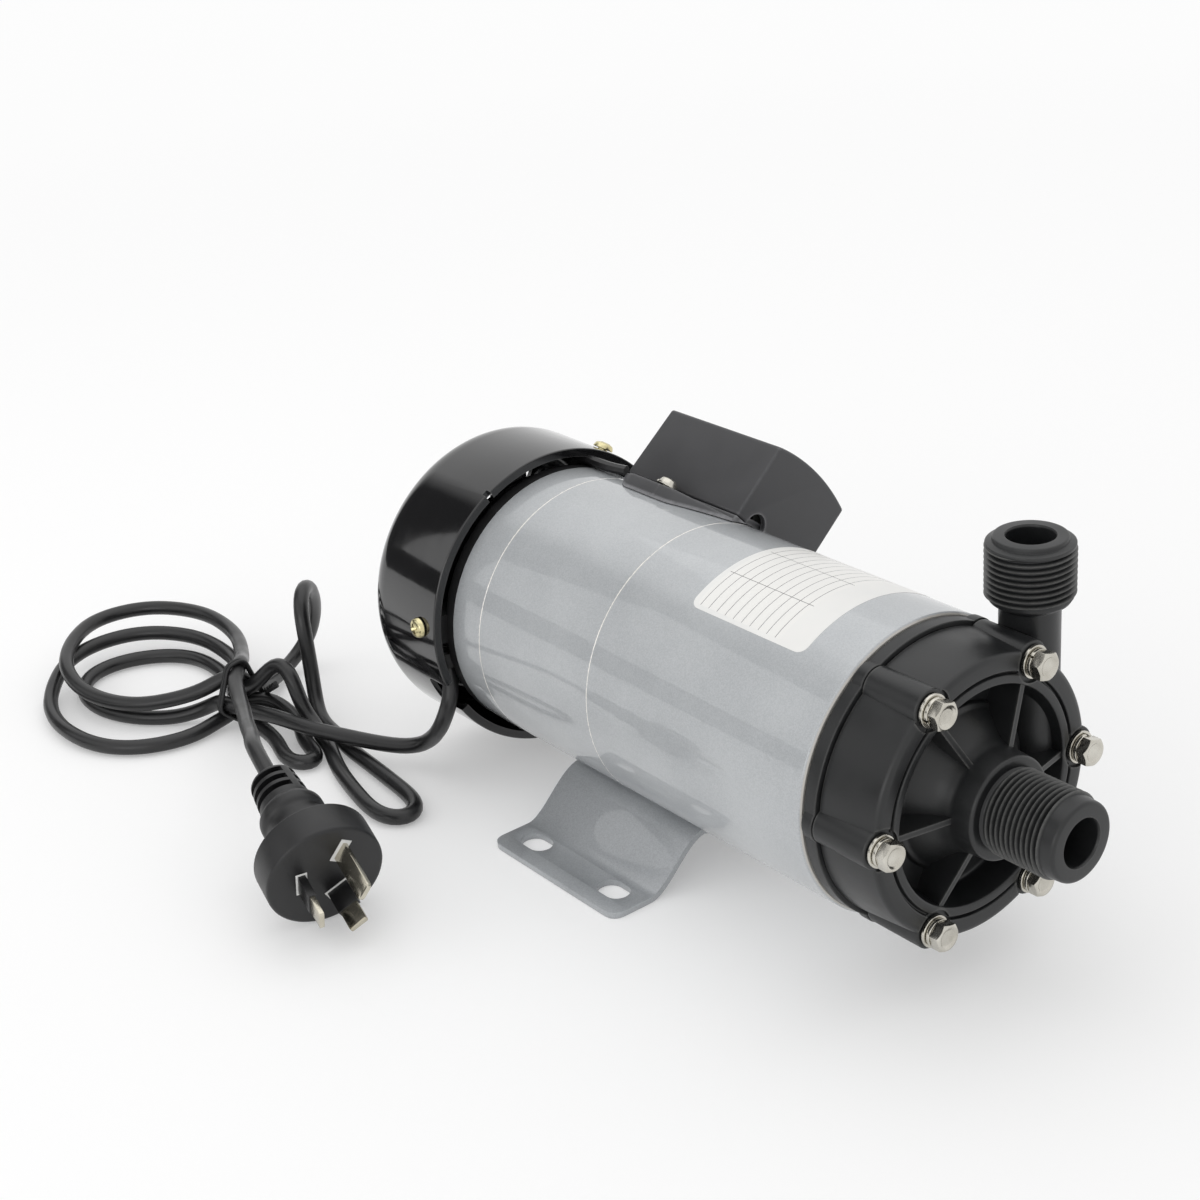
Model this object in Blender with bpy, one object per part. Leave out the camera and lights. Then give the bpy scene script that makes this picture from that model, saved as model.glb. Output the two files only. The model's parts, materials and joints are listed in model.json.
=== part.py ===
"""Magnetic drive pump with a round mains motor, a foot, a terminal box and a tied cord.

Metres, +Z up. The pump axis runs along +X towards the inlet. Every piece except the
cord is placed from the empty "axis", which lies on the pump axis.
"""

import math

import bmesh
import bpy
from mathutils import Matrix, Vector

MM = 0.001

# Fits
GAP = 0.3 * MM
RUNNING_GAP = 0.15 * MM

# Motor
AXIS_HEIGHT = 58.6 * MM
TUBE_RADIUS = 46.4 * MM
TUBE_WALL = 2.0 * MM
TUBE_REAR = -85.0 * MM
TUBE_FRONT = 83.0 * MM
STATOR_LENGTH = 60.0 * MM
STATOR_BORE_RADIUS = 24.4 * MM
STATOR_SLOTS = 12
SLOT_DEPTH = 12.0 * MM
WINDING_LENGTH = 13.0 * MM
AIR_GAP = 0.4 * MM
SHAFT_RADIUS = 7.5 * MM
JOURNAL_RADIUS = 5.0 * MM
BEARING_RADIUS = 13.0 * MM
BEARING_WIDTH = 8.0 * MM
END_PLATE_THICKNESS = 4.0 * MM
FRONT_PLATE_X = 28.0 * MM
WINDING_TO_PLATE = 5.0 * MM
STATOR_REAR = FRONT_PLATE_X - WINDING_TO_PLATE - WINDING_LENGTH - STATOR_LENGTH

# Fan and its cover
COVER_RADIUS = 52.45 * MM
COVER_WALL = 1.7 * MM
COVER_FRONT = -87.5 * MM
COVER_BACK = -127.8 * MM
COVER_FILLET = 10.2 * MM
COVER_VENTS = 12
VENT_LENGTH = 17.0 * MM
VENT_WIDTH = 4.6 * MM
COVER_SCREW_X = -95.6 * MM
COVER_SCREW_ANGLES = (175.9, 55.9, 295.9)
LUG_WIDTH = 10.0 * MM
NOTCH_ANGLE = 205.5
NOTCH_WIDTH = 12.0 * MM
NOTCH_DEPTH = 11.0 * MM
LEAD_HOLE_RADIUS = 37.5 * MM
EARTH_RADIUS = 36.0 * MM
EARTH_ANGLE = 222.0
EARTH_SCREW_RADIUS = 2.0 * MM
FAN_RADIUS = 44.0 * MM
FAN_BLADES = 7
FAN_X = -116.0 * MM
FAN_DEPTH = 15.0 * MM
FAN_BLADE = 1.8 * MM

# Foot
FOOT_HALF_WIDTH = 61.0 * MM
FOOT_REAR = -51.8 * MM
FOOT_LENGTH = 64.0 * MM
FOOT_PLATE = 2.1 * MM
FOOT_FLAT_WIDTH = 15.0 * MM
FOOT_FLAT_Y = FOOT_HALF_WIDTH - FOOT_FLAT_WIDTH
FOOT_CREST_Y = 25.5 * MM
FOOT_CORNER = 5.0 * MM
FOOT_SLOT_EDGE = 9.8 * MM
FOOT_SLOT_Y = FOOT_HALF_WIDTH - FOOT_SLOT_EDGE
FOOT_SLOT_PITCH = 40.1 * MM
FOOT_SLOT_LENGTH = 12.0 * MM
FOOT_SLOT_WIDTH = 8.4 * MM

# Terminal box, seated on the tube at an angle above the horizontal
BOX_ANGLE = 41.6
BOX_REAR = -70.0 * MM
BOX_FRONT = -14.4 * MM
BOX_HALF_WIDTH = 20.15 * MM
BOX_SEAT = 44.4 * MM
BOX_CROWN = 73.5 * MM
BOX_WALL = 2.0 * MM
BOX_EDGE = 1.6 * MM
EAR_HALF_WIDTH = 27.8 * MM
EAR_REAR = -60.0 * MM
EAR_FRONT = -38.0 * MM
EAR_SEAT = BOX_SEAT - 1.5 * MM
BOX_SCREW_X = -44.9 * MM
BOX_SCREW_SHANK = 3.0 * MM
BOX_SCREW_SIDE = 24.4 * MM
CABLE_HOLE_SIDE = -10.5 * MM
CABLE_HOLE_WIDTH = 8.6 * MM
CABLE_HOLE_RISE = 4.8 * MM
CAPACITOR_RADIUS = 8.0 * MM
CAPACITOR_LENGTH = 40.0 * MM
LEAD_RADIUS = 1.8 * MM
LEAD_ANGLE = 69.0

# Pump head
FLANGE_THICKNESS = 5.2 * MM
HEAD_DEPTH = 20.6 * MM
PARTING_X = TUBE_FRONT + FLANGE_THICKNESS
HEAD_FRONT = PARTING_X + HEAD_DEPTH
HEAD_REAR_RADIUS = 44.0 * MM
HEAD_FRONT_RADIUS = 42.6 * MM
CAVITY_RADIUS = 33.6 * MM
CAVITY_DEPTH = 6.4 * MM
RECESS_RADIUS = 33.4 * MM
RECESS_DEPTH = 10.4 * MM
RIM_GROOVE_RADIUS = 36.6 * MM
RIM_GROOVE_WIDTH = 1.2 * MM
RIM_GROOVE_DEPTH = 1.4 * MM
RIB_THICKNESS = 2.0 * MM
BOLTS = 6
BOLT_CIRCLE = 40.54 * MM
BOLT_RADIUS = 2.5 * MM
BOLT_CLEARANCE = 0.35 * MM
BOLT_SEAT_DEPTH = 0.9 * MM
BOLT_SEAT = HEAD_FRONT - BOLT_SEAT_DEPTH
BOLT_HEAD_FLATS = 8.0 * MM
BOLT_HEAD_HEIGHT = 3.5 * MM
BOLT_WASHER = 1.1 * MM
BOLT_LOCK_WASHER = 1.2 * MM
LOCK_WASHER_RADIUS = 4.1 * MM
BOSS_RADIUS = 6.0 * MM
RECESS_FLOOR = HEAD_FRONT - RECESS_DEPTH
INLET_REACH = 35.1 * MM
INLET_TIP = HEAD_FRONT + INLET_REACH
INLET_BOSS_RADIUS = 15.6 * MM
INLET_BOSS_LENGTH = 9.6 * MM
INLET_BOSS_END = HEAD_FRONT + INLET_BOSS_LENGTH
INLET_NOSE_RADIUS = 11.6 * MM
INLET_BORE_RADIUS = 7.1 * MM
THREAD_RADIUS = 13.1 * MM
THREAD_PITCH = 1.814 * MM
THREAD_DEPTH = 1.16 * MM
INLET_CRESTS = 8
OUTLET_CRESTS = 9
OUTLET_FROM_PARTING = 7.7 * MM
OUTLET_X = PARTING_X + OUTLET_FROM_PARTING
OUTLET_Y = 32.8 * MM
OUTLET_TOP = 65.9 * MM
OUTLET_BORE_RADIUS = 7.0 * MM
OUTLET_NECK_RADIUS = 8.9 * MM
OUTLET_NOSE_RADIUS = 10.2 * MM
OUTLET_NOSE_LENGTH = 3.2 * MM
BRACKET_RADIUS = 45.4 * MM
BRACKET_WALL = 3.0 * MM
BRACKET_DEPTH = 33.0 * MM
BRACKET_REAR = TUBE_FRONT - BRACKET_DEPTH

# Magnetic drive and wet end
CAN_RADIUS = 20.5 * MM
CAN_WALL = 1.8 * MM
CAN_DEPTH = 39.7 * MM
CAN_REAR = PARTING_X - CAN_DEPTH
CAN_FLANGE_RADIUS = 37.0 * MM
CAN_FLANGE = 2.8 * MM
SPINDLE_RADIUS = 3.0 * MM
SPINDLE_REACH = 10.8 * MM
SPINDLE_FRONT = PARTING_X + SPINDLE_REACH
DRIVE_MAGNET_INNER = 21.9 * MM
DRIVE_MAGNET_OUTER = 27.0 * MM
DRIVE_MAGNET_DEPTH = 36.2 * MM
DRIVE_MAGNET_REAR = PARTING_X - DRIVE_MAGNET_DEPTH
MAGNET_LENGTH = 27.0 * MM
CUP_WALL = 2.4 * MM
CUP_BOSS_RADIUS = 10.0 * MM
INNER_MAGNET_RADIUS = 17.2 * MM
MAGNET_CARRIER_RADIUS = 11.0 * MM
BUSHING_WALL = 2.2 * MM
IMPELLER_RADIUS = 29.0 * MM
IMPELLER_VANES = 6
VANE_HEIGHT = 3.4 * MM
IMPELLER_DISC = 1.8 * MM
THRUST_RING = 2.0 * MM
THRUST_RING_RADIUS = 6.4 * MM
O_RING_RADIUS = 35.6 * MM
O_RING_SECTION = 0.8 * MM

# Cord and plug
CORD_RADIUS = 2.8 * MM
PLUG_PLACE = Vector((-47.1, -125.9, 18.9)) * MM
PLUG_AXIS = Vector((0.947, -0.190, -0.259))
PLUG_ACROSS = Vector((-0.044, -0.876, 0.481))
PLUG_RADIUS = 19.2 * MM
PLUG_DISC = 12.0 * MM
PLUG_SHOULDER_RADIUS = 14.2 * MM
PLUG_SHOULDER_END = 22.0 * MM
PLUG_NECK_RADIUS = 9.4 * MM
PLUG_LENGTH = 50.0 * MM
PIN_WIDTH = 6.35 * MM
PIN_THICKNESS = 1.6 * MM
PIN_ROOT = 9.0 * MM
LINE_PIN_LENGTH = 17.1 * MM
EARTH_PIN_LENGTH = 19.9 * MM
LINE_PIN_CIRCLE = 7.92 * MM
EARTH_PIN_CIRCLE = 10.3 * MM

# The bounding box of the pump stands on the origin: its middle in X, and in Y the
# middle between the foot's near edge and the terminal box's far side.
BOX_REACH = 65.67 * MM
CENTRE_X = (INLET_TIP + COVER_BACK) / 2
CENTRE_Y = (BOX_REACH - FOOT_HALF_WIDTH) / 2

TAU = 2 * math.pi
ROUND = 36
SMALL_ROUND = 16

for old in list(bpy.data.objects):
    bpy.data.objects.remove(old, do_unlink=True)


# Materials


def material(name, colour, roughness, metallic=0.0):
    made = bpy.data.materials.new(name)
    made.use_nodes = True
    shader = made.node_tree.nodes["Principled BSDF"]
    shader.inputs["Base Color"].default_value = (*colour, 1.0)
    shader.inputs["Roughness"].default_value = roughness
    shader.inputs["Metallic"].default_value = metallic
    made.diffuse_color = (*colour, 1.0)
    return made


silver_paint = material("silver_paint", (0.55, 0.58, 0.58), 0.35, 0.4)
foot_paint = material("foot_paint", (0.36, 0.38, 0.38), 0.45, 0.3)
pump_plastic = material("pump_plastic", (0.035, 0.036, 0.038), 0.45)
box_plastic = material("box_plastic", (0.07, 0.07, 0.075), 0.6)
cover_paint = material("cover_paint", (0.012, 0.012, 0.014), 0.18)
stainless = material("stainless", (0.75, 0.74, 0.7), 0.25, 1.0)
yellow_zinc = material("yellow_zinc", (0.75, 0.68, 0.42), 0.3, 1.0)
cast_aluminium = material("cast_aluminium", (0.6, 0.61, 0.62), 0.5, 0.9)
shaft_steel = material("shaft_steel", (0.6, 0.6, 0.6), 0.3, 1.0)
core_steel = material("core_steel", (0.3, 0.31, 0.33), 0.5, 0.8)
copper_winding = material("copper_winding", (0.55, 0.2, 0.08), 0.4, 0.6)
ferrite = material("ferrite", (0.08, 0.08, 0.09), 0.6, 0.3)
ceramic = material("ceramic", (0.85, 0.83, 0.78), 0.3)
carbon = material("carbon", (0.05, 0.05, 0.05), 0.5)
rubber = material("rubber", (0.02, 0.02, 0.02), 0.7)
fan_plastic = material("fan_plastic", (0.05, 0.05, 0.05), 0.5)
cord_pvc = material("cord_pvc", (0.02, 0.02, 0.022), 0.4)
plug_pvc = material("plug_pvc", (0.025, 0.025, 0.027), 0.45)
pin_nickel = material("pin_nickel", (0.7, 0.68, 0.6), 0.3, 1.0)
capacitor_case = material("capacitor_case", (0.7, 0.7, 0.68), 0.4)


# Building blocks


def empty(name, place, turn=None):
    made = bpy.data.objects.new(name, None)
    made.empty_display_size = 0.02
    made.location = place
    if turn:
        made.rotation_euler = turn
    bpy.context.scene.collection.objects.link(made)
    return made


axis = empty("axis", (-CENTRE_X, -CENTRE_Y, AXIS_HEIGHT))


def add(name, bm, surface, parent=axis, place=(0, 0, 0), smooth=True):
    """Turns a bmesh into a named object under its parent."""
    bmesh.ops.remove_doubles(bm, verts=bm.verts, dist=1e-6)
    bmesh.ops.recalc_face_normals(bm, faces=bm.faces)
    mesh = bpy.data.meshes.new(name)
    bm.to_mesh(mesh)
    bm.free()
    if smooth:
        mesh.shade_smooth()
        mesh.set_sharp_from_angle(angle=math.radians(32))
    mesh.materials.append(surface)
    made = bpy.data.objects.new(name, mesh)
    made.parent = parent
    made.location = place
    bpy.context.scene.collection.objects.link(made)
    return made


def turned_bmesh(profile, steps=ROUND):
    """Spins a closed (x, radius) outline about the X axis."""
    bm = bmesh.new()
    points = [bm.verts.new((x, 0, radius)) for x, radius in profile]
    edges = [bm.edges.new(pair) for pair in zip(points, points[1:] + points[:1])]
    bmesh.ops.spin(
        bm, geom=points + edges, cent=(0, 0, 0), axis=(1, 0, 0), angle=TAU, steps=steps
    )
    bmesh.ops.remove_doubles(bm, verts=bm.verts, dist=1e-6)
    loose = [edge for edge in bm.edges if not edge.link_faces]
    bmesh.ops.delete(bm, geom=loose, context="EDGES")
    bmesh.ops.recalc_face_normals(bm, faces=bm.faces)
    return bm


def turned(name, profile, surface, steps=ROUND, **where):
    return add(name, turned_bmesh(profile, steps), surface, **where)


def ring_profile(start, length, inner, outer):
    end = start + length
    return [(start, inner), (start, outer), (end, outer), (end, inner)]


def prism_bmesh(outline, start, length):
    """Extrudes a (y, z) outline along X."""
    bm = bmesh.new()
    face = bm.faces.new([bm.verts.new((start, y, z)) for y, z in outline])
    grown = bmesh.ops.extrude_face_region(bm, geom=[face])["geom"]
    far = [item for item in grown if isinstance(item, bmesh.types.BMVert)]
    bmesh.ops.translate(bm, verts=far, vec=(length, 0, 0))
    bmesh.ops.recalc_face_normals(bm, faces=bm.faces)
    return bm


def plate_bmesh(outline, start, height):
    """Extrudes an (x, y) outline along Z."""
    bm = bmesh.new()
    face = bm.faces.new([bm.verts.new((x, y, start)) for x, y in outline])
    grown = bmesh.ops.extrude_face_region(bm, geom=[face])["geom"]
    far = [item for item in grown if isinstance(item, bmesh.types.BMVert)]
    bmesh.ops.translate(bm, verts=far, vec=(0, 0, height))
    bmesh.ops.recalc_face_normals(bm, faces=bm.faces)
    return bm


def block_bmesh(low, high):
    outline = [(low[1], low[2]), (high[1], low[2]), (high[1], high[2]), (low[1], high[2])]
    return prism_bmesh(outline, low[0], high[0] - low[0])


def polar(radius, degrees):
    """(y, z) at an angle that is counted from +Y towards +Z."""
    angle = math.radians(degrees)
    return radius * math.cos(angle), radius * math.sin(angle)


def arc(radius, start, end, count, centre=(0, 0)):
    """Points on an arc, in degrees, both ends included."""
    points = []
    for i in range(count):
        y, z = polar(radius, start + (end - start) * i / (count - 1))
        points.append((centre[0] + y, centre[1] + z))
    return points


def rod_bmesh(radius, start, end, steps=24):
    """A closed round bar along X."""
    return turned_bmesh([(start, 0), (start, radius), (end, radius), (end, 0)], steps)


def helper(name, bm, parent=axis, place=(0, 0, 0), turn=None):
    """A cutter or a piece to be joined, which isn't part of the pump."""
    bmesh.ops.recalc_face_normals(bm, faces=bm.faces)
    mesh = bpy.data.meshes.new(name)
    bm.to_mesh(mesh)
    bm.free()
    made = bpy.data.objects.new(name, mesh)
    made.parent = parent
    made.location = place
    if turn:
        made.rotation_euler = turn
    made.hide_render = True
    made.display_type = "WIRE"
    bpy.context.scene.collection.objects.link(made)
    return made


def boolean(target, other, operation):
    modifier = target.modifiers.new(other.name, "BOOLEAN")
    modifier.operation = operation
    modifier.solver = "EXACT"
    modifier.object = other
    return modifier


def cut(target, other):
    boolean(target, other, "DIFFERENCE")


def join(target, other):
    boolean(target, other, "UNION")


def moved(bm, matrix):
    bmesh.ops.transform(bm, matrix=matrix, verts=bm.verts)
    return bm


def upright(bm):
    """Stands a piece that was made along X up along Z."""
    return moved(bm, Matrix.Rotation(-math.pi / 2, 4, "Y"))


def about_x(degrees):
    return Matrix.Rotation(math.radians(degrees), 4, "X")


# Along +Z of this frame a thing points straight out from the axis, at an angle that
# is counted from +Y towards +Z.
def outwards(degrees):
    return about_x(degrees - 90)


# Motor

TUBE_INNER = TUBE_RADIUS - TUBE_WALL
CORE_RADIUS = TUBE_INNER - GAP
STATOR_FRONT = STATOR_REAR + STATOR_LENGTH


def motor_tube():
    lead_in = 0.8 * MM
    profile = [
        (TUBE_REAR, TUBE_INNER),
        (TUBE_REAR, TUBE_RADIUS),
        (TUBE_FRONT - lead_in, TUBE_RADIUS),
        (TUBE_FRONT, TUBE_RADIUS - lead_in),
        (TUBE_FRONT, TUBE_INNER),
    ]
    turned("motor_tube", profile, silver_paint, steps=48)


def stator_core():
    """A ring of laminations whose slots open into the bore."""
    pitch = 360 / STATOR_SLOTS
    neck = STATOR_BORE_RADIUS + 2.5 * MM
    bottom = STATOR_BORE_RADIUS + SLOT_DEPTH
    inner = []
    for i in range(STATOR_SLOTS):
        middle = i * pitch
        inner.append(polar(STATOR_BORE_RADIUS, middle - pitch * 0.36))
        inner.append(polar(STATOR_BORE_RADIUS, middle - pitch * 0.08))
        inner.append(polar(neck, middle - pitch * 0.10))
        inner.append(polar(bottom, middle - pitch * 0.30))
        inner.append(polar(bottom, middle + pitch * 0.30))
        inner.append(polar(neck, middle + pitch * 0.10))
        inner.append(polar(STATOR_BORE_RADIUS, middle + pitch * 0.08))
        inner.append(polar(STATOR_BORE_RADIUS, middle + pitch * 0.36))
    outline = ring_profile(STATOR_REAR, STATOR_LENGTH, STATOR_BORE_RADIUS / 2, CORE_RADIUS)
    body = turned("stator_core", outline, core_steel, smooth=False)
    slots = prism_bmesh(inner, STATOR_REAR - MM, STATOR_LENGTH + 2 * MM)
    cut(body, helper("stator_slots", slots))


def windings():
    inner = STATOR_BORE_RADIUS + 2.5 * MM
    outer = STATOR_BORE_RADIUS + SLOT_DEPTH + 2 * MM
    soft = 3 * MM
    for name, seat, out in (
        ("winding_front", STATOR_FRONT + GAP, 1),
        ("winding_rear", STATOR_REAR - GAP, -1),
    ):
        end = seat + out * WINDING_LENGTH
        profile = [(seat, inner), (seat, outer), (end - out * soft, outer), (end, outer - soft)]
        profile += [(end, inner + soft), (end - out * soft, inner)]
        turned(name, profile, copper_winding, steps=24)


def rotor():
    radius = STATOR_BORE_RADIUS - AIR_GAP
    ring = radius - 5 * MM
    bore = SHAFT_RADIUS + GAP
    side = 4 * MM
    profile = [
        (STATOR_REAR - side, bore),
        (STATOR_REAR - side, ring),
        (STATOR_REAR, ring),
        (STATOR_REAR, radius),
        (STATOR_FRONT, radius),
        (STATOR_FRONT, ring),
        (STATOR_FRONT + side, ring),
        (STATOR_FRONT + side, bore),
    ]
    turned("rotor_core", profile, core_steel, steps=30)


REAR_BEARING_X = TUBE_REAR - END_PLATE_THICKNESS / 2 + GAP
SHAFT_REAR = FAN_X - 3 * MM
CUP_BOSS_REAR = FRONT_PLATE_X + END_PLATE_THICKNESS + 6 * MM
CUP_FLOOR = DRIVE_MAGNET_REAR - CUP_WALL - GAP
SHAFT_FRONT = CAN_REAR - 2.2 * MM
SHOULDER_REAR = STATOR_REAR - 10 * MM
SHOULDER_FRONT = STATOR_FRONT + 8 * MM


def motor_shaft():
    profile = [
        (SHAFT_REAR, 0),
        (SHAFT_REAR, JOURNAL_RADIUS),
        (SHOULDER_REAR, JOURNAL_RADIUS),
        (SHOULDER_REAR, SHAFT_RADIUS),
        (SHOULDER_FRONT, SHAFT_RADIUS),
        (SHOULDER_FRONT, JOURNAL_RADIUS),
        (SHAFT_FRONT, JOURNAL_RADIUS),
        (SHAFT_FRONT, 0),
    ]
    turned("motor_shaft", profile, shaft_steel, steps=24)


def bearing(name, middle):
    start = middle - BEARING_WIDTH / 2
    profile = ring_profile(start, BEARING_WIDTH, JOURNAL_RADIUS + RUNNING_GAP, BEARING_RADIUS)
    turned(name, profile, shaft_steel, steps=24)


def front_end_plate():
    """A disc inside the tube, in front of the windings, with a seat for the bearing."""
    rear = FRONT_PLATE_X
    front = rear + END_PLATE_THICKNESS
    seat = BEARING_RADIUS + GAP
    spigot = 6 * MM
    profile = [
        (rear, seat),
        (rear, CORE_RADIUS),
        (front + spigot, CORE_RADIUS),
        (front + spigot, CORE_RADIUS - 3 * MM),
        (front, CORE_RADIUS - 4 * MM),
        (front, seat + 5 * MM),
        (front + spigot / 2, seat + 4 * MM),
        (front + spigot / 2, seat),
    ]
    turned("front_end_plate", profile, cast_aluminium, steps=30)
    bearing("front_bearing", rear + BEARING_WIDTH / 2)


def rear_end_plate():
    """A disc that closes the tube's rear, with three lugs that carry the fan cover."""
    front = TUBE_REAR - GAP
    rear = front - END_PLATE_THICKNESS
    seat = BEARING_RADIUS + GAP
    profile = [
        (rear - 3 * MM, seat),
        (rear - 3 * MM, seat + 4 * MM),
        (rear, seat + 5 * MM),
        (rear, TUBE_RADIUS),
        (front, TUBE_RADIUS),
        (front, CORE_RADIUS),
        (front + 5 * MM, CORE_RADIUS),
        (front + 5 * MM, CORE_RADIUS - 3 * MM),
        (front, CORE_RADIUS - 4 * MM),
        (front, seat),
    ]
    plate = turned("rear_end_plate", profile, cast_aluminium)
    reach = COVER_RADIUS - COVER_WALL - GAP
    lug_rear = COVER_SCREW_X - LUG_WIDTH / 2
    for i, angle in enumerate(COVER_SCREW_ANGLES):
        turn = outwards(angle)
        half = LUG_WIDTH / 2
        corner = math.sqrt(reach * reach - half * half)
        outline = [(-half, TUBE_RADIUS - 7 * MM), (half, TUBE_RADIUS - 7 * MM)]
        outline += [(half, corner), (0, reach), (-half, corner)]
        lug = moved(prism_bmesh(outline, lug_rear, rear + 0.7 * MM - lug_rear), turn)
        join(plate, helper(f"lug_{i + 1}", lug))
        hole = upright(rod_bmesh(1.7 * MM + GAP, TUBE_RADIUS - 3 * MM, reach + 5 * MM, 16))
        bmesh.ops.translate(hole, verts=hole.verts, vec=(COVER_SCREW_X, 0, 0))
        cut(plate, helper(f"lug_hole_{i + 1}", moved(hole, turn)))
    holes = (
        ("lead_hole", LEAD_HOLE_RADIUS, LEAD_ANGLE, LEAD_RADIUS),
        ("earth_hole", EARTH_RADIUS, EARTH_ANGLE, EARTH_SCREW_RADIUS),
    )
    for name, distance, angle, radius in holes:
        hole = rod_bmesh(radius + GAP, rear - 8 * MM, front + 10 * MM, 16)
        cut(plate, helper(name, hole, place=(0, *polar(distance, angle))))
    bearing("rear_bearing", front - BEARING_WIDTH / 2 + 1 * MM)
    y, z = polar(EARTH_RADIUS, EARTH_ANGLE)
    screw = pan_screw("earth_screw", stainless, 3.6 * MM, 2.2 * MM, EARTH_SCREW_RADIUS, 8 * MM, place=(rear - GAP, y, z))
    screw.rotation_euler = (0, -math.pi / 2, 0)


def cooling_fan():
    """Radial blades on a disc, turning inside the cover."""
    bore = JOURNAL_RADIUS + GAP
    hub = 9 * MM
    disc = 2 * MM
    front = FAN_X + FAN_DEPTH
    profile = [
        (FAN_X, bore),
        (FAN_X, hub),
        (front - disc, hub),
        (front - disc, FAN_RADIUS - 4 * MM),
        (front, FAN_RADIUS - 4 * MM),
        (front, bore),
    ]
    fan = turned("cooling_fan", profile, fan_plastic, steps=28)
    for i in range(FAN_BLADES):
        blade = block_bmesh(
            (FAN_X + 2 * MM, -FAN_BLADE / 2, hub - 2 * MM),
            (front - disc / 2, FAN_BLADE / 2, FAN_RADIUS),
        )
        join(fan, helper(f"fan_blade_{i + 1}", moved(blade, about_x(360 * i / FAN_BLADES))))


def fan_cover():
    """A pressed cup with air slots in its back and a notch in its rim for the cord."""
    inner = COVER_RADIUS - COVER_WALL
    bend = COVER_FILLET - COVER_WALL
    middle_x = COVER_BACK + COVER_FILLET
    middle_r = COVER_RADIUS - COVER_FILLET
    outer_arc = []
    inner_arc = []
    for i in range(4):
        angle = math.radians(90 * i / 3)
        outer_arc.append((middle_x - COVER_FILLET * math.sin(angle), middle_r + COVER_FILLET * math.cos(angle)))
        inner_arc.append((middle_x - bend * math.sin(angle), middle_r + bend * math.cos(angle)))
    profile = [(COVER_FRONT, COVER_RADIUS), *outer_arc, (COVER_BACK, 0)]
    profile += [(COVER_BACK + COVER_WALL, 0), *reversed(inner_arc), (COVER_FRONT, inner)]
    cover = turned("fan_cover", profile, cover_paint, steps=48)
    for i in range(COVER_VENTS):
        slot = block_bmesh(
            (COVER_BACK - 2 * MM, -VENT_WIDTH / 2, middle_r - VENT_LENGTH - 3 * MM),
            (COVER_BACK + COVER_WALL + 2 * MM, VENT_WIDTH / 2, middle_r - 3 * MM),
        )
        cut(cover, helper(f"vent_{i + 1}", moved(slot, about_x(360 * i / COVER_VENTS))))
    notch = block_bmesh(
        (COVER_FRONT - NOTCH_DEPTH, -NOTCH_WIDTH / 2, inner - 4 * MM),
        (COVER_FRONT + 2 * MM, NOTCH_WIDTH / 2, COVER_RADIUS + 4 * MM),
    )
    cut(cover, helper("cord_notch", moved(notch, outwards(NOTCH_ANGLE))))
    for i, angle in enumerate(COVER_SCREW_ANGLES):
        hole = upright(rod_bmesh(2.0 * MM + GAP, inner - 4 * MM, COVER_RADIUS + 4 * MM, 16))
        bmesh.ops.translate(hole, verts=hole.verts, vec=(COVER_SCREW_X, 0, 0))
        cut(cover, helper(f"cover_hole_{i + 1}", moved(hole, outwards(angle))))


def pan_screw(name, surface, head_radius, head_height, shank_radius, shank, **where):
    """A pan-head screw: its head stands on z = 0 and its shank goes down."""
    profile = [(head_height, 0), (head_height * 0.95, head_radius * 0.45)]
    profile += [(head_height * 0.6, head_radius * 0.88), (0.0, head_radius)]
    profile += [(0.0, shank_radius), (-shank, shank_radius), (-shank, 0)]
    return add(name, upright(turned_bmesh(profile, SMALL_ROUND)), surface, **where)


def cover_screws():
    for i, angle in enumerate(COVER_SCREW_ANGLES):
        radius = COVER_RADIUS + GAP
        y, z = polar(radius, angle)
        screw = pan_screw(
            f"cover_screw_{i + 1}", yellow_zinc, 3.6 * MM, 2.4 * MM, 1.7 * MM, 7.5 * MM,
            place=(COVER_SCREW_X, y, z),
        )
        screw.rotation_euler = (math.radians(angle - 90), 0, 0)


# Foot


def foot_height(y):
    """Height of the plate's underside above the floor, at a distance from the middle."""
    side = abs(y)
    seat = TUBE_RADIUS + GAP + FOOT_PLATE
    if side <= FOOT_CREST_Y - 3 * MM:
        return AXIS_HEIGHT - math.sqrt(seat * seat - side * side)
    crest = AXIS_HEIGHT - math.sqrt(seat * seat - (FOOT_CREST_Y - 3 * MM) ** 2)
    if side >= FOOT_FLAT_Y:
        return 0.0
    share = (FOOT_FLAT_Y - side) / (FOOT_FLAT_Y - FOOT_CREST_Y + 3 * MM)
    return crest * share * share * (3 - 2 * share)


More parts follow.
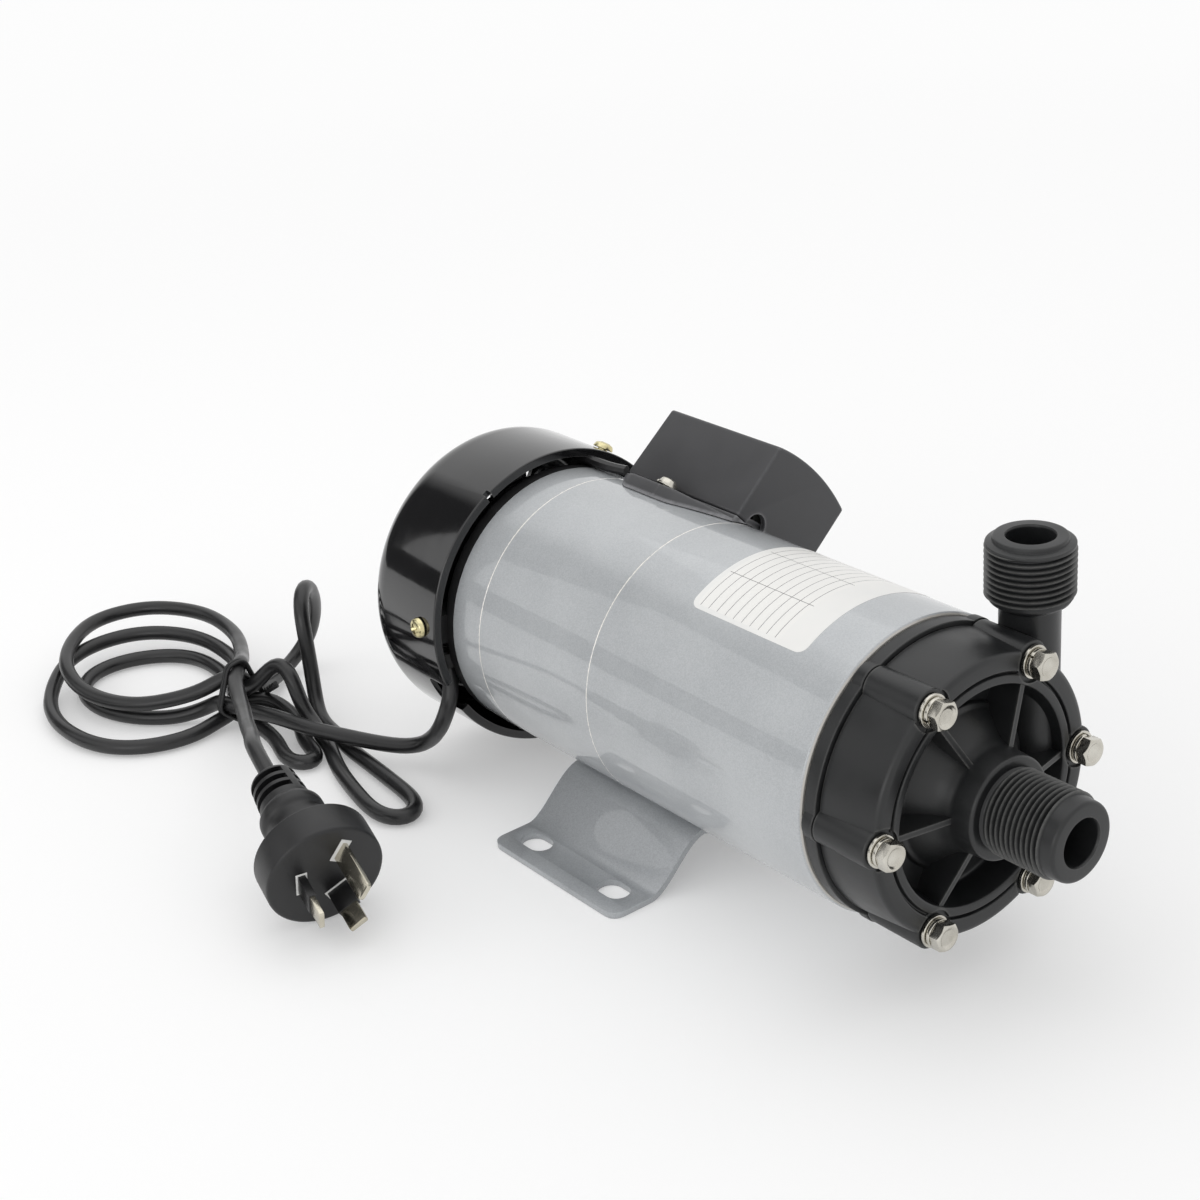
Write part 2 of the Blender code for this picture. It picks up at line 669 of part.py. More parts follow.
def mounting_foot():
    """One bent plate: flat outer flanges that rise to cradle the tube."""
    count = 36
    stations = [FOOT_HALF_WIDTH * (2 * i / count - 1) for i in range(count + 1)]
    lower = [Vector((y, foot_height(y))) for y in stations]
    upper = []
    for i, point in enumerate(lower):
        before = lower[max(i - 1, 0)]
        after = lower[min(i + 1, count)]
        along = (after - before).normalized()
        upper.append(point + Vector((-along.y, along.x)) * FOOT_PLATE)
    upper[0].x = lower[0].x
    upper[-1].x = lower[-1].x
    outline = [(p.x, p.y - AXIS_HEIGHT) for p in lower + upper[::-1]]
    bm = prism_bmesh(outline, FOOT_REAR, FOOT_LENGTH)
    corners = []
    for edge in bm.edges:
        ends = [vert.co for vert in edge.verts]
        if all(abs(abs(p.y) - FOOT_HALF_WIDTH) < 1e-5 for p in ends) and abs(ends[0].x - ends[1].x) < 1e-6:
            corners.append(edge)
    bmesh.ops.bevel(bm, geom=corners, offset=FOOT_CORNER, segments=4, profile=0.5, affect="EDGES")
    foot = add("mounting_foot", bm, foot_paint)
    middle = FOOT_REAR + FOOT_LENGTH / 2
    half = (FOOT_SLOT_LENGTH - FOOT_SLOT_WIDTH) / 2
    radius = FOOT_SLOT_WIDTH / 2
    for i, (along, side) in enumerate(((-1, -1), (1, -1), (-1, 1), (1, 1))):
        outline = arc(radius, -90, 90, 9, (half, 0)) + arc(radius, 90, 270, 9, (-half, 0))
        slot = plate_bmesh(outline, -AXIS_HEIGHT - 3 * MM, 16 * MM)
        place = (middle + along * FOOT_SLOT_PITCH / 2, side * FOOT_SLOT_Y, 0)
        cut(foot, helper(f"foot_slot_{i + 1}", slot, place=place))


# Terminal box

box_frame = empty("box_frame", (0, 0, 0), (math.radians(BOX_ANGLE - 90), 0, 0))
box_frame.parent = axis
BOX_CORNER = math.sqrt(BOX_CROWN**2 - BOX_HALF_WIDTH**2)


def tube_side(side, extra=0.0):
    """How far out the tube's surface is, at this distance beside the box's middle."""
    radius = TUBE_RADIUS + extra
    return math.sqrt(radius * radius - side * side)


def box_outline(half_width, crown, seat, count=9):
    """A (side, out) section: two straight walls under a crown that follows the tube."""
    end = math.degrees(math.asin(half_width / crown))
    return [(half_width, seat), *arc(crown, 90 - end, 90 + end, count), (-half_width, seat)]


def terminal_box():
    """The lid: a hollow shell, open towards the tube."""
    seat = BOX_SEAT + GAP
    bm = prism_bmesh(box_outline(BOX_HALF_WIDTH, BOX_CROWN, seat), BOX_REAR, BOX_FRONT - BOX_REAR)
    for vert in bm.verts:
        if vert.co.x < BOX_REAR + 1e-5 and vert.co.z > seat + MM:
            vert.co.x += 1.6 * MM
    seat_edges = [e for e in bm.edges if all(v.co.z > seat + MM for v in e.verts) and e.calc_face_angle(0) > 0.6]
    bmesh.ops.bevel(bm, geom=seat_edges, offset=BOX_EDGE, segments=2, profile=0.5, affect="EDGES")
    lid = add("terminal_box", bm, box_plastic, parent=box_frame)
    inside = box_outline(BOX_HALF_WIDTH - BOX_WALL, BOX_CROWN - BOX_WALL, seat - 3 * MM)
    hollow = prism_bmesh(inside, BOX_REAR + BOX_WALL + 1.6 * MM, BOX_FRONT - BOX_REAR - 2 * BOX_WALL - 1.6 * MM)
    cut(lid, helper("box_hollow", hollow, box_frame))
    under = rod_bmesh(TUBE_RADIUS + GAP, BOX_REAR - 5 * MM, BOX_FRONT + 5 * MM, 96)
    cut(lid, helper("lid_saddle", under, box_frame))
    cut(lid, cable_hole("lid_cable_hole"))


def cable_hole(name):
    radius = CABLE_HOLE_WIDTH / 2
    foot = tube_side(CABLE_HOLE_SIDE)
    top = foot + CABLE_HOLE_RISE
    outline = [(CABLE_HOLE_SIDE - radius, foot - 6 * MM), (CABLE_HOLE_SIDE + radius, foot - 6 * MM)]
    outline += arc(radius, 0, 180, 9, (CABLE_HOLE_SIDE, top - radius))
    return helper(name, prism_bmesh(outline, BOX_FRONT - BOX_WALL - 3 * MM, BOX_WALL + 6 * MM), box_frame)


def box_base():
    """The saddle under the lid: an arched floor over the tube, with an ear at each side."""
    low = TUBE_RADIUS * 0.70
    taper = [
        (BOX_REAR, BOX_HALF_WIDTH),
        (EAR_REAR, EAR_HALF_WIDTH),
        (EAR_FRONT, EAR_HALF_WIDTH),
        (BOX_FRONT, BOX_HALF_WIDTH + 0.6 * MM),
    ]
    outline = taper + [(x, -side) for x, side in reversed(taper)]
    bm = plate_bmesh(outline, low, EAR_SEAT - low)
    base = add("box_base", bm, box_plastic, parent=box_frame, smooth=False)
    seat = [(BOX_REAR, BOX_HALF_WIDTH), (BOX_FRONT, BOX_HALF_WIDTH)]
    seat += [(x, -side) for x, side in reversed(seat)]
    raised = plate_bmesh(seat, low + 1 * MM, BOX_SEAT - low - 1 * MM)
    join(base, helper("box_raised_seat", raised, box_frame))
    start = BOX_REAR + BOX_WALL + 2.2 * MM
    end = BOX_FRONT - BOX_WALL - 0.6 * MM
    floor_radius = TUBE_RADIUS + GAP + BOX_WALL
    floor = box_outline(BOX_HALF_WIDTH - BOX_WALL - 0.5 * MM, floor_radius, low + 1 * MM)
    join(base, helper("box_floor", prism_bmesh(floor, start, end - start), box_frame))
    saddle = rod_bmesh(TUBE_RADIUS + GAP, BOX_REAR - 5 * MM, BOX_FRONT + 5 * MM, 96)
    cut(base, helper("box_saddle", saddle, box_frame))
    for i, side in enumerate((1, -1)):
        hole = upright(rod_bmesh(1.9 * MM + GAP, low, BOX_SEAT + 5 * MM, 16))
        place = (BOX_SCREW_X, side * BOX_SCREW_SIDE, 0)
        cut(base, helper(f"box_screw_hole_{i + 1}", hole, box_frame, place))


def box_screws():
    """Pan-head screws with a fixed washer, one in each ear."""
    washer = 0.8 * MM
    for i, side in enumerate((1, -1)):
        name = f"box_screw_{i + 1}"
        place = (BOX_SCREW_X, side * BOX_SCREW_SIDE, EAR_SEAT + GAP + washer)
        shank = BOX_SCREW_SHANK
        screw = pan_screw(name, stainless, 3.4 * MM, 2.4 * MM, 1.9 * MM, shank, parent=box_frame, place=place)
        disc = upright(rod_bmesh(3.9 * MM, -washer, 0.2 * MM, SMALL_ROUND))
        join(screw, helper(f"{name}_washer", disc, screw))


def capacitor():
    start = BOX_REAR + BOX_WALL + 4 * MM
    bm = rod_bmesh(CAPACITOR_RADIUS, start, start + CAPACITOR_LENGTH, 24)
    return add("capacitor", bm, capacitor_case, parent=box_frame, place=(0, 0, TUBE_RADIUS + BOX_WALL + 2 * GAP + CAPACITOR_RADIUS))


# Pump head


def thread_profile(start, step, crests, radius):
    """Crests and roots along the axis, from the first root to the last."""
    points = []
    for i in range(crests):
        points.append((start + step * i * THREAD_PITCH, radius - THREAD_DEPTH))
        points.append((start + step * (i + 0.5) * THREAD_PITCH, radius))
    points.append((start + step * crests * THREAD_PITCH, radius - THREAD_DEPTH))
    return points


def bolt_angles():
    return [360 * i / BOLTS for i in range(BOLTS)]


def casing_body():
    """The outside of the front casing, turned about the pump axis."""
    groove_out = RIM_GROOVE_RADIUS + RIM_GROOVE_WIDTH / 2
    groove_in = RIM_GROOVE_RADIUS - RIM_GROOVE_WIDTH / 2
    return [
        (PARTING_X - MM, 0),
        (PARTING_X - MM, HEAD_REAR_RADIUS),
        (HEAD_FRONT - 1.5 * MM, HEAD_FRONT_RADIUS),
        (HEAD_FRONT, HEAD_FRONT_RADIUS - 1.5 * MM),
        (HEAD_FRONT, groove_out),
        (HEAD_FRONT - RIM_GROOVE_DEPTH, groove_out - 0.2 * MM),
        (HEAD_FRONT - RIM_GROOVE_DEPTH, groove_in + 0.2 * MM),
        (HEAD_FRONT, groove_in),
        (HEAD_FRONT, RECESS_RADIUS),
        (RECESS_FLOOR, RECESS_RADIUS - 1.2 * MM),
        (RECESS_FLOOR, 25 * MM),
        (RECESS_FLOOR + 1.6 * MM, 24.6 * MM),
        (RECESS_FLOOR + 8.6 * MM, 17.4 * MM),
        (RECESS_FLOOR + 12.4 * MM, INLET_BOSS_RADIUS + 0.5 * MM),
        (INLET_BOSS_END - 1 * MM, INLET_BOSS_RADIUS),
        (INLET_BOSS_END, INLET_BOSS_RADIUS - 1 * MM),
        (INLET_BOSS_END, 0),
    ]


def inlet_outline():
    """The inlet's outline, from inside its boss to its mouth."""
    thread = thread_profile(INLET_BOSS_END + 0.6 * MM, 1, INLET_CRESTS, THREAD_RADIUS)
    start = INLET_BOSS_END - 4 * MM
    return [
        (start, 0),
        (start, THREAD_RADIUS - THREAD_DEPTH),
        *thread,
        (thread[-1][0] + 1 * MM, INLET_NOSE_RADIUS + 0.6 * MM),
        (INLET_TIP - 1 * MM, INLET_NOSE_RADIUS),
        (INLET_TIP, INLET_NOSE_RADIUS - 0.8 * MM),
        (INLET_TIP, 0),
    ]


def outlet_outline():
    """The outlet's (height, radius) outline, from its mouth down to its neck."""
    thread_top = OUTLET_TOP - OUTLET_NOSE_LENGTH
    thread = thread_profile(thread_top, -1, OUTLET_CRESTS, THREAD_RADIUS)
    low = thread[-1][0]
    outline = [(OUTLET_TOP, 0), (OUTLET_TOP, OUTLET_NOSE_RADIUS - 0.5 * MM)]
    outline += [(OUTLET_TOP - 0.6 * MM, OUTLET_NOSE_RADIUS)]
    outline += [(thread_top + 0.3 * MM, OUTLET_NOSE_RADIUS + 0.4 * MM), *thread]
    outline += [(low - 1.4 * MM, OUTLET_NECK_RADIUS), (0, OUTLET_NECK_RADIUS), (0, 0)]
    return outline


def front_casing():
    """The front half of the volute with its ribs, bosses, inlet and outlet."""
    casing = turned("front_casing", casing_body(), pump_plastic)
    join(casing, helper("inlet_spout", turned_bmesh(inlet_outline(), 24)))
    spout = upright(turned_bmesh(outlet_outline(), 24))
    outlet = (OUTLET_X, OUTLET_Y, 0)
    join(casing, helper("outlet_spout", spout, place=outlet))
    gusset = prism_bmesh(
        [(0, 46 * MM), (-15.5 * MM, 30 * MM), (-13 * MM, 18 * MM), (0, 18 * MM)],
        -1.2 * MM,
        2.4 * MM,
    )
    join(casing, helper("outlet_gusset", gusset, place=outlet))

    inner_x = PARTING_X + CAVITY_DEPTH + 1.5 * MM
    rib_outer = RECESS_RADIUS + 1.5 * MM
    rib_side = [
        (inner_x, rib_outer),
        (HEAD_FRONT - 0.8 * MM, rib_outer),
        (RECESS_FLOOR + 13.4 * MM, INLET_BOSS_RADIUS - 2 * MM),
        (RECESS_FLOOR + 7 * MM, INLET_BOSS_RADIUS - 2 * MM),
        (inner_x, 26 * MM),
    ]
    for i, angle in enumerate(bolt_angles()):
        boss = rod_bmesh(BOSS_RADIUS, PARTING_X - 0.6 * MM, BOLT_SEAT + 0.3 * MM, 12)
        join(casing, helper(f"boss_{i + 1}", boss, place=(0, *polar(BOLT_CIRCLE, angle))))
        rib = upright_plate_bmesh(rib_side, RIB_THICKNESS)
        join(casing, helper(f"rib_{i + 1}", moved(rib, outwards(angle))))

    cavity = [
        (PARTING_X - 5 * MM, 0),
        (PARTING_X - 5 * MM, CAVITY_RADIUS),
        (PARTING_X + CAVITY_DEPTH, CAVITY_RADIUS - 0.6 * MM),
        (PARTING_X + CAVITY_DEPTH, 24 * MM),
        (RECESS_FLOOR - 1.0 * MM, 22 * MM),
        (RECESS_FLOOR + 5.6 * MM, 14.6 * MM),
        (RECESS_FLOOR + 6.5 * MM, INLET_BORE_RADIUS),
        (INLET_TIP + 2 * MM, INLET_BORE_RADIUS),
        (INLET_TIP + 2 * MM, 0),
    ]
    cut(casing, helper("casing_cavity", turned_bmesh(cavity, 28)))
    seal = ring_profile(
        PARTING_X - 3 * MM,
        3 * MM + 2 * O_RING_SECTION,
        O_RING_RADIUS - O_RING_SECTION - GAP,
        O_RING_RADIUS + O_RING_SECTION + GAP,
    )
    cut(casing, helper("seal_groove", turned_bmesh(seal, 30)))
    bore = upright(rod_bmesh(OUTLET_BORE_RADIUS, 4.6 * MM, OUTLET_TOP + 5 * MM, 24))
    cut(casing, helper("outlet_bore", bore, place=outlet))
    for i, angle in enumerate(bolt_angles()):
        place = (0, *polar(BOLT_CIRCLE, angle))
        hole = rod_bmesh(BOLT_RADIUS + BOLT_CLEARANCE, PARTING_X - 5 * MM, BOLT_SEAT + 8 * MM, 10)
        cut(casing, helper(f"bolt_hole_{i + 1}", hole, place=place))
        seat = rod_bmesh(BOSS_RADIUS + 0.5 * MM, BOLT_SEAT, BOLT_SEAT + 9 * MM, 14)
        cut(casing, helper(f"bolt_seat_{i + 1}", seat, place=place))
    behind = rod_bmesh(HEAD_REAR_RADIUS + 15 * MM, PARTING_X - 20 * MM, PARTING_X, 32)
    cut(casing, helper("parting_cutter", behind))


def upright_plate_bmesh(outline, thickness):
    """A plate in the XZ plane, centred on Y = 0, with an (x, z) outline."""
    bm = bmesh.new()
    face = bm.faces.new([bm.verts.new((x, -thickness / 2, z)) for x, z in outline])
    grown = bmesh.ops.extrude_face_region(bm, geom=[face])["geom"]
    far = [item for item in grown if isinstance(item, bmesh.types.BMVert)]
    bmesh.ops.translate(bm, verts=far, vec=(0, thickness, 0))
    return bm


def motor_bracket():
    """The flange between motor and pump head, with a cup round the drive magnets."""
    front = PARTING_X - GAP
    rear = TUBE_FRONT + GAP
    can_seat = front - CAN_FLANGE - GAP
    cup = CORE_RADIUS
    profile = [
        (BRACKET_REAR, cup - BRACKET_WALL),
        (BRACKET_REAR, cup),
        (rear, cup),
        (rear, BRACKET_RADIUS),
        (front, BRACKET_RADIUS),
        (front, cup - BRACKET_WALL - 7 * MM),
        (can_seat - 7 * MM, cup - BRACKET_WALL - 7 * MM),
        (can_seat - 10 * MM, cup - BRACKET_WALL),
    ]
    bracket = turned("motor_bracket", profile, pump_plastic)
    for i, angle in enumerate(bolt_angles()):
        boss = rod_bmesh(BOSS_RADIUS, rear + 0.2 * MM, front - 0.1 * MM, 12)
        join(bracket, helper(f"bracket_boss_{i + 1}", boss, place=(0, *polar(BOLT_CIRCLE, angle))))
    pocket = rod_bmesh(CAN_FLANGE_RADIUS + GAP, can_seat, front + 5 * MM, ROUND)
    cut(bracket, helper("can_pocket", pocket))
    for i, angle in enumerate(bolt_angles()):
        hole = rod_bmesh(BOLT_RADIUS + BOLT_CLEARANCE, BOLT_TIP - 1 * MM, front + 5 * MM, 12)
        cut(bracket, helper(f"bracket_hole_{i + 1}", hole, place=(0, *polar(BOLT_CIRCLE, angle))))


BOLT_TIP = PARTING_X - 8 * MM


def casing_bolts():
    """Hexagon bolts with a captive lock washer, each on a plain washer."""
    washer_front = BOLT_SEAT + GAP + BOLT_WASHER
    under_head = washer_front + GAP + BOLT_LOCK_WASHER
    corner = BOLT_HEAD_FLATS / math.sqrt(3)
    for i, angle in enumerate(bolt_angles()):
        y, z = polar(BOLT_CIRCLE, angle)
        turned(f"casing_washer_{i + 1}", ring_profile(BOLT_SEAT + GAP, BOLT_WASHER, BOLT_RADIUS + GAP, 5.0 * MM),
               stainless, steps=16, place=(0, y, z))
        bm = prism_bmesh(arc(corner, 15, 315, 6), under_head, BOLT_HEAD_HEIGHT)
        bolt = add(f"casing_bolt_{i + 1}", bm, stainless, place=(0, y, z))
        shank = [
            (BOLT_TIP, 0),
            (BOLT_TIP, BOLT_RADIUS),
            (washer_front + GAP, BOLT_RADIUS),
            (washer_front + GAP, LOCK_WASHER_RADIUS),
            (under_head - 0.1 * MM, LOCK_WASHER_RADIUS),
            (under_head + 1.5 * MM, BOLT_RADIUS),
            (under_head + 1.5 * MM, 0),
        ]
        join(bolt, helper(f"bolt_shank_{i + 1}", turned_bmesh(shank, 12), place=(0, y, z)))


def rear_casing():
    """The containment can: a flange, a thin round wall and a closed rear end."""
    front = PARTING_X - GAP
    inner = CAN_RADIUS - CAN_WALL
    floor = CAN_REAR + 2.2 * MM
    socket = SPINDLE_RADIUS + GAP
    profile = [
        (CAN_REAR, 0),
        (CAN_REAR, CAN_RADIUS - 1.5 * MM),
        (CAN_REAR + 1.5 * MM, CAN_RADIUS),
        (front - CAN_FLANGE, CAN_RADIUS),
        (front - CAN_FLANGE, CAN_FLANGE_RADIUS),
        (front, CAN_FLANGE_RADIUS),
        (front, inner),
        (floor, inner),
        (floor, 7 * MM),
        (floor + 4.5 * MM, 7 * MM),
        (floor + 4.5 * MM, socket),
        (floor - 0.4 * MM, socket),
        (floor - 0.4 * MM, 0),
    ]
    turned("rear_casing", profile, pump_plastic)
    ring = []
    for i in range(6):
        angle = TAU * i / 6
        ring.append((PARTING_X + O_RING_SECTION + O_RING_SECTION * 0.72 * math.cos(angle) - 0.2 * MM,
                     O_RING_RADIUS + O_RING_SECTION * math.sin(angle)))
    turned("casing_o_ring", ring[::-1], rubber, steps=30)
    start = floor + GAP
    turned("pump_spindle", [(start - 0.4 * MM, 0), (start - 0.4 * MM, SPINDLE_RADIUS), (SPINDLE_FRONT, SPINDLE_RADIUS), (SPINDLE_FRONT, 0)],
           ceramic, steps=24)


IMPELLER_REAR = PARTING_X + 0.8 * MM
CARRIER_REAR = CAN_REAR + 2.2 * MM + 4.5 * MM + THRUST_RING + 3 * GAP
BUSHING_RADIUS = SPINDLE_RADIUS + RUNNING_GAP + BUSHING_WALL


def wet_end():
    """Impeller with its magnet carrier, bushing and the two thrust rings."""
    disc_front = IMPELLER_REAR + IMPELLER_DISC
    hub_front = disc_front + VANE_HEIGHT
    magnet_start = CARRIER_REAR + 2 * MM
    bore = BUSHING_RADIUS + GAP
    profile = [
        (CARRIER_REAR, bore),
        (CARRIER_REAR, MAGNET_CARRIER_RADIUS),
        (IMPELLER_REAR, MAGNET_CARRIER_RADIUS),
        (IMPELLER_REAR, IMPELLER_RADIUS),
        (disc_front, IMPELLER_RADIUS),
        (disc_front, 8.6 * MM),
        (hub_front, 7.6 * MM),
        (hub_front, bore),
    ]
    impeller = turned("impeller", profile, pump_plastic)
    for i in range(IMPELLER_VANES):
        inner = []
        outer = []
        for k in range(5):
            share = k / 4
            radius = 9.4 * MM + (IMPELLER_RADIUS - 0.6 * MM - 9.4 * MM) * share
            angle = -42 * share
            inner.append(polar(radius, angle - math.degrees(0.7 * MM / radius)))
            outer.append(polar(radius, angle + math.degrees(0.7 * MM / radius)))
        vane = prism_bmesh(inner + outer[::-1], disc_front - 0.8 * MM, VANE_HEIGHT + 0.8 * MM)
        join(impeller, helper(f"vane_{i + 1}", moved(vane, about_x(360 * i / IMPELLER_VANES))))
    turned("inner_magnet", ring_profile(magnet_start, MAGNET_LENGTH, MAGNET_CARRIER_RADIUS + GAP, INNER_MAGNET_RADIUS), ferrite)
    turned("impeller_bushing", ring_profile(CARRIER_REAR, hub_front - CARRIER_REAR, SPINDLE_RADIUS + RUNNING_GAP, BUSHING_RADIUS),
           carbon, steps=24)
    turned("rear_thrust_ring", ring_profile(CARRIER_REAR - GAP - THRUST_RING, THRUST_RING, SPINDLE_RADIUS + GAP, THRUST_RING_RADIUS),
           ceramic, steps=24)
    turned("front_thrust_ring", ring_profile(hub_front + GAP, THRUST_RING, SPINDLE_RADIUS + GAP, THRUST_RING_RADIUS),
           ceramic, steps=24)


def magnetic_drive():
    """A steel cup on the motor shaft, lined with the outer magnet ring."""
    cup_inner = DRIVE_MAGNET_OUTER + GAP
    cup_outer = cup_inner + CUP_WALL
    front = DRIVE_MAGNET_REAR + MAGNET_LENGTH + 1 * MM
    bore = JOURNAL_RADIUS + GAP
    floor_front = CAN_REAR - 1.0 * MM
    floor_rear = floor_front - CUP_WALL
    profile = [
        (CUP_BOSS_REAR, bore),
        (CUP_BOSS_REAR, CUP_BOSS_RADIUS),
        (floor_rear, CUP_BOSS_RADIUS),
        (floor_rear, cup_outer),
        (front, cup_outer),
        (front, cup_inner),
        (floor_front, cup_inner),
        (floor_front, bore),
    ]
    turned("drive_cup", profile, shaft_steel, steps=30)
    turned("drive_magnet", ring_profile(DRIVE_MAGNET_REAR, MAGNET_LENGTH, DRIVE_MAGNET_INNER, DRIVE_MAGNET_OUTER), ferrite)


# Cord and plug


def smooth_route(points, step):
    """Evenly spaced points on a Catmull-Rom curve through the given points."""
    padded = [points[0] * 2 - points[1], *points, points[-1] * 2 - points[-2]]
    fine = []
    for a, b, c, d in zip(padded, padded[1:], padded[2:], padded[3:]):
        for k in range(24):
            t = k / 24
            fine.append(0.5 * (2 * b + (c - a) * t + (2 * a - 5 * b + 4 * c - d) * t * t + (3 * b - a - 3 * c + d) * t**3))
    fine.append(points[-1])
    route = [fine[0]]
    travelled = 0.0
    for before, after in zip(fine, fine[1:]):
        travelled += (after - before).length
        if travelled >= step:
            route.append(after)
            travelled = 0.0
    if (route[-1] - fine[-1]).length < step * 0.4:
        route.pop()
    route.append(fine[-1])
    return route


def tube(name, points, radius, surface, parent=None):
    """A round cord along a route."""
    curve = bpy.data.curves.new(name, "CURVE")
    curve.dimensions = "3D"
    curve.bevel_depth = radius
    curve.bevel_resolution = 2
    curve.use_fill_caps = True
    spline = curve.splines.new("POLY")
    spline.points.add(len(points) - 1)
    for slot, point in zip(spline.points, points):
        slot.co = (*point, 1.0)
    curve.materials.append(surface)
    made = bpy.data.objects.new(name, curve)
    made.parent = parent
    bpy.context.scene.collection.objects.link(made)
    return made


def route_points(table):
    return [Vector(point) * MM - Vector((CENTRE_X, CENTRE_Y, 0)) for point in table]


LEAD_ROUTE = [
    (-94.0, -45.0, 50.3),
    (-93.3, -44.6, 45.0),
    (-92.0, -45.1, 41.1),
    (-90.6, -46.5, 36.8),
    (-90.7, -48.0, 32.4),
    (-93.0, -48.7, 27.2),
    (-97.3, -48.5, 21.4),
    (-103.8, -48.0, 15.2),
    (-112.5, -47.6, 9.4),
    (-123.0, -48.4, 5.0),
    (-134.0, -51.8, 3.2),
    (-144.6, -56.8, 4.6),
    (-153.2, -60.4, 7.6),
]

PLUG_LEAD_ROUTE = [
    (-189.5, -75.0, 19.3),
    (-176.0, -82.8, 20.3),
    (-158.0, -91.0, 22.5),
    (-140.0, -99.0, 26.5),
    (-124.0, -106.0, 31.5),
    (-109.0, -112.8, 35.2),
    (-95.2, -116.2, 32.1),
]


def box_lead():
    """The short cable out of the motor's rear, under the cover's rim and up to the box."""
    points = []
    for x, radius, angle in BOX_LEAD_ROUTE:
        points.append(Vector((x * MM, *polar(radius * MM, angle))))
    tube("box_lead", smooth_route(points, 2.5 * MM), LEAD_RADIUS, cord_pvc, axis)


BOX_LEAD_ROUTE = [
    (-84.0, 37.5, LEAD_ANGLE),
    (-90.0, 37.5, LEAD_ANGLE),
    (-94.3, 39.2, LEAD_ANGLE),
    (-96.0, 43.0, LEAD_ANGLE),
    (-94.3, 46.9, LEAD_ANGLE),
    (-90.0, 48.5, LEAD_ANGLE),
    (-84.0, 48.6, LEAD_ANGLE),
    (-77.0, 48.7, 68.2),
    (-70.6, 49.2, 66.0),
]


def cord_clamp():
    """A sleeve that holds the end of the cord's jacket against the end plate."""
    start, toward = [Vector(point) * MM for point in LEAD_ROUTE[:2]]
    along = (start - toward).normalized()
    turn = Vector((1, 0, 0)).rotation_difference(along).to_matrix().to_4x4()
    inner = CORD_RADIUS + GAP
    bm = turned_bmesh(ring_profile(-4 * MM, 5 * MM, inner, inner + 1.2 * MM), 16)
    clamp = add("cord_clamp", moved(bm, turn), rubber, parent=None)
    clamp.location = start - Vector((CENTRE_X, CENTRE_Y, 0))


HANK_HEIGHT = 16.1 * MM
TIE_X = -193.5 * MM
TIE_WIDTH = 2.0 * MM
TIE_THICKNESS = 1.2 * MM


def hank():
    """The tied hank's outer shape, two round lobes and a waist, with its tie."""
    waist_near = -84.5
    waist_far = -64.5
    outline = []
    for degrees in range(40, 321, 14):
        angle = math.radians(degrees)
        outline.append((-238 + 48 * math.cos(angle), -90 + 37 * math.sin(angle)))
    outline += [(-196, waist_near), (-186, waist_near)]
    for degrees in range(-90, 91, 18):
        angle = math.radians(degrees)
        outline.append((-99 + 13 * math.cos(angle), -72 + 10 * math.sin(angle)))
    outline += [(-186, waist_far), (-196, waist_far)]
    flat = [(x * MM - CENTRE_X, y * MM - CENTRE_Y) for x, y in outline]
    body = add("cord_hank", plate_bmesh(flat, 0, HANK_HEIGHT), cord_pvc, parent=None)
    low = Vector((TIE_X - CENTRE_X, waist_near * MM - CENTRE_Y, 0))
    high = Vector((TIE_X - CENTRE_X + TIE_WIDTH, waist_far * MM - CENTRE_Y, HANK_HEIGHT))
    deep = TIE_THICKNESS + GAP
    groove = block_bmesh(low - Vector((GAP, 0.01, 0.01)), Vector((high.x + GAP, high.y + 0.01, deep + GAP / 2)))
    cut(body, helper("tie_groove", groove, None))
    start = low.x
    outer = TIE_THICKNESS + GAP
    near = low.y - outer
    far = high.y + outer
    top = HANK_HEIGHT + outer
    bm = block_bmesh((start, near, 0), (start + TIE_WIDTH, far, top))
    tie = add("cord_tie", bm, rubber, parent=None, smooth=False)
    inside = block_bmesh(
        (start - MM, low.y - GAP, TIE_THICKNESS),
        (start + TIE_WIDTH + MM, high.y + GAP, HANK_HEIGHT + GAP),
    )
    cut(tie, helper("tie_inside", inside, None))


plug_frame = empty("plug_frame", PLUG_PLACE - Vector((CENTRE_X, CENTRE_Y, 0)))


def face_plug_frame():
    """Turns the plug's frame so that its +X is the way the pins point."""
    out = PLUG_AXIS.normalized()
    across = (PLUG_ACROSS - out * PLUG_ACROSS.dot(out)).normalized()
    up = out.cross(across)
    plug_frame.rotation_euler = Matrix((out, across, up)).transposed().to_euler()


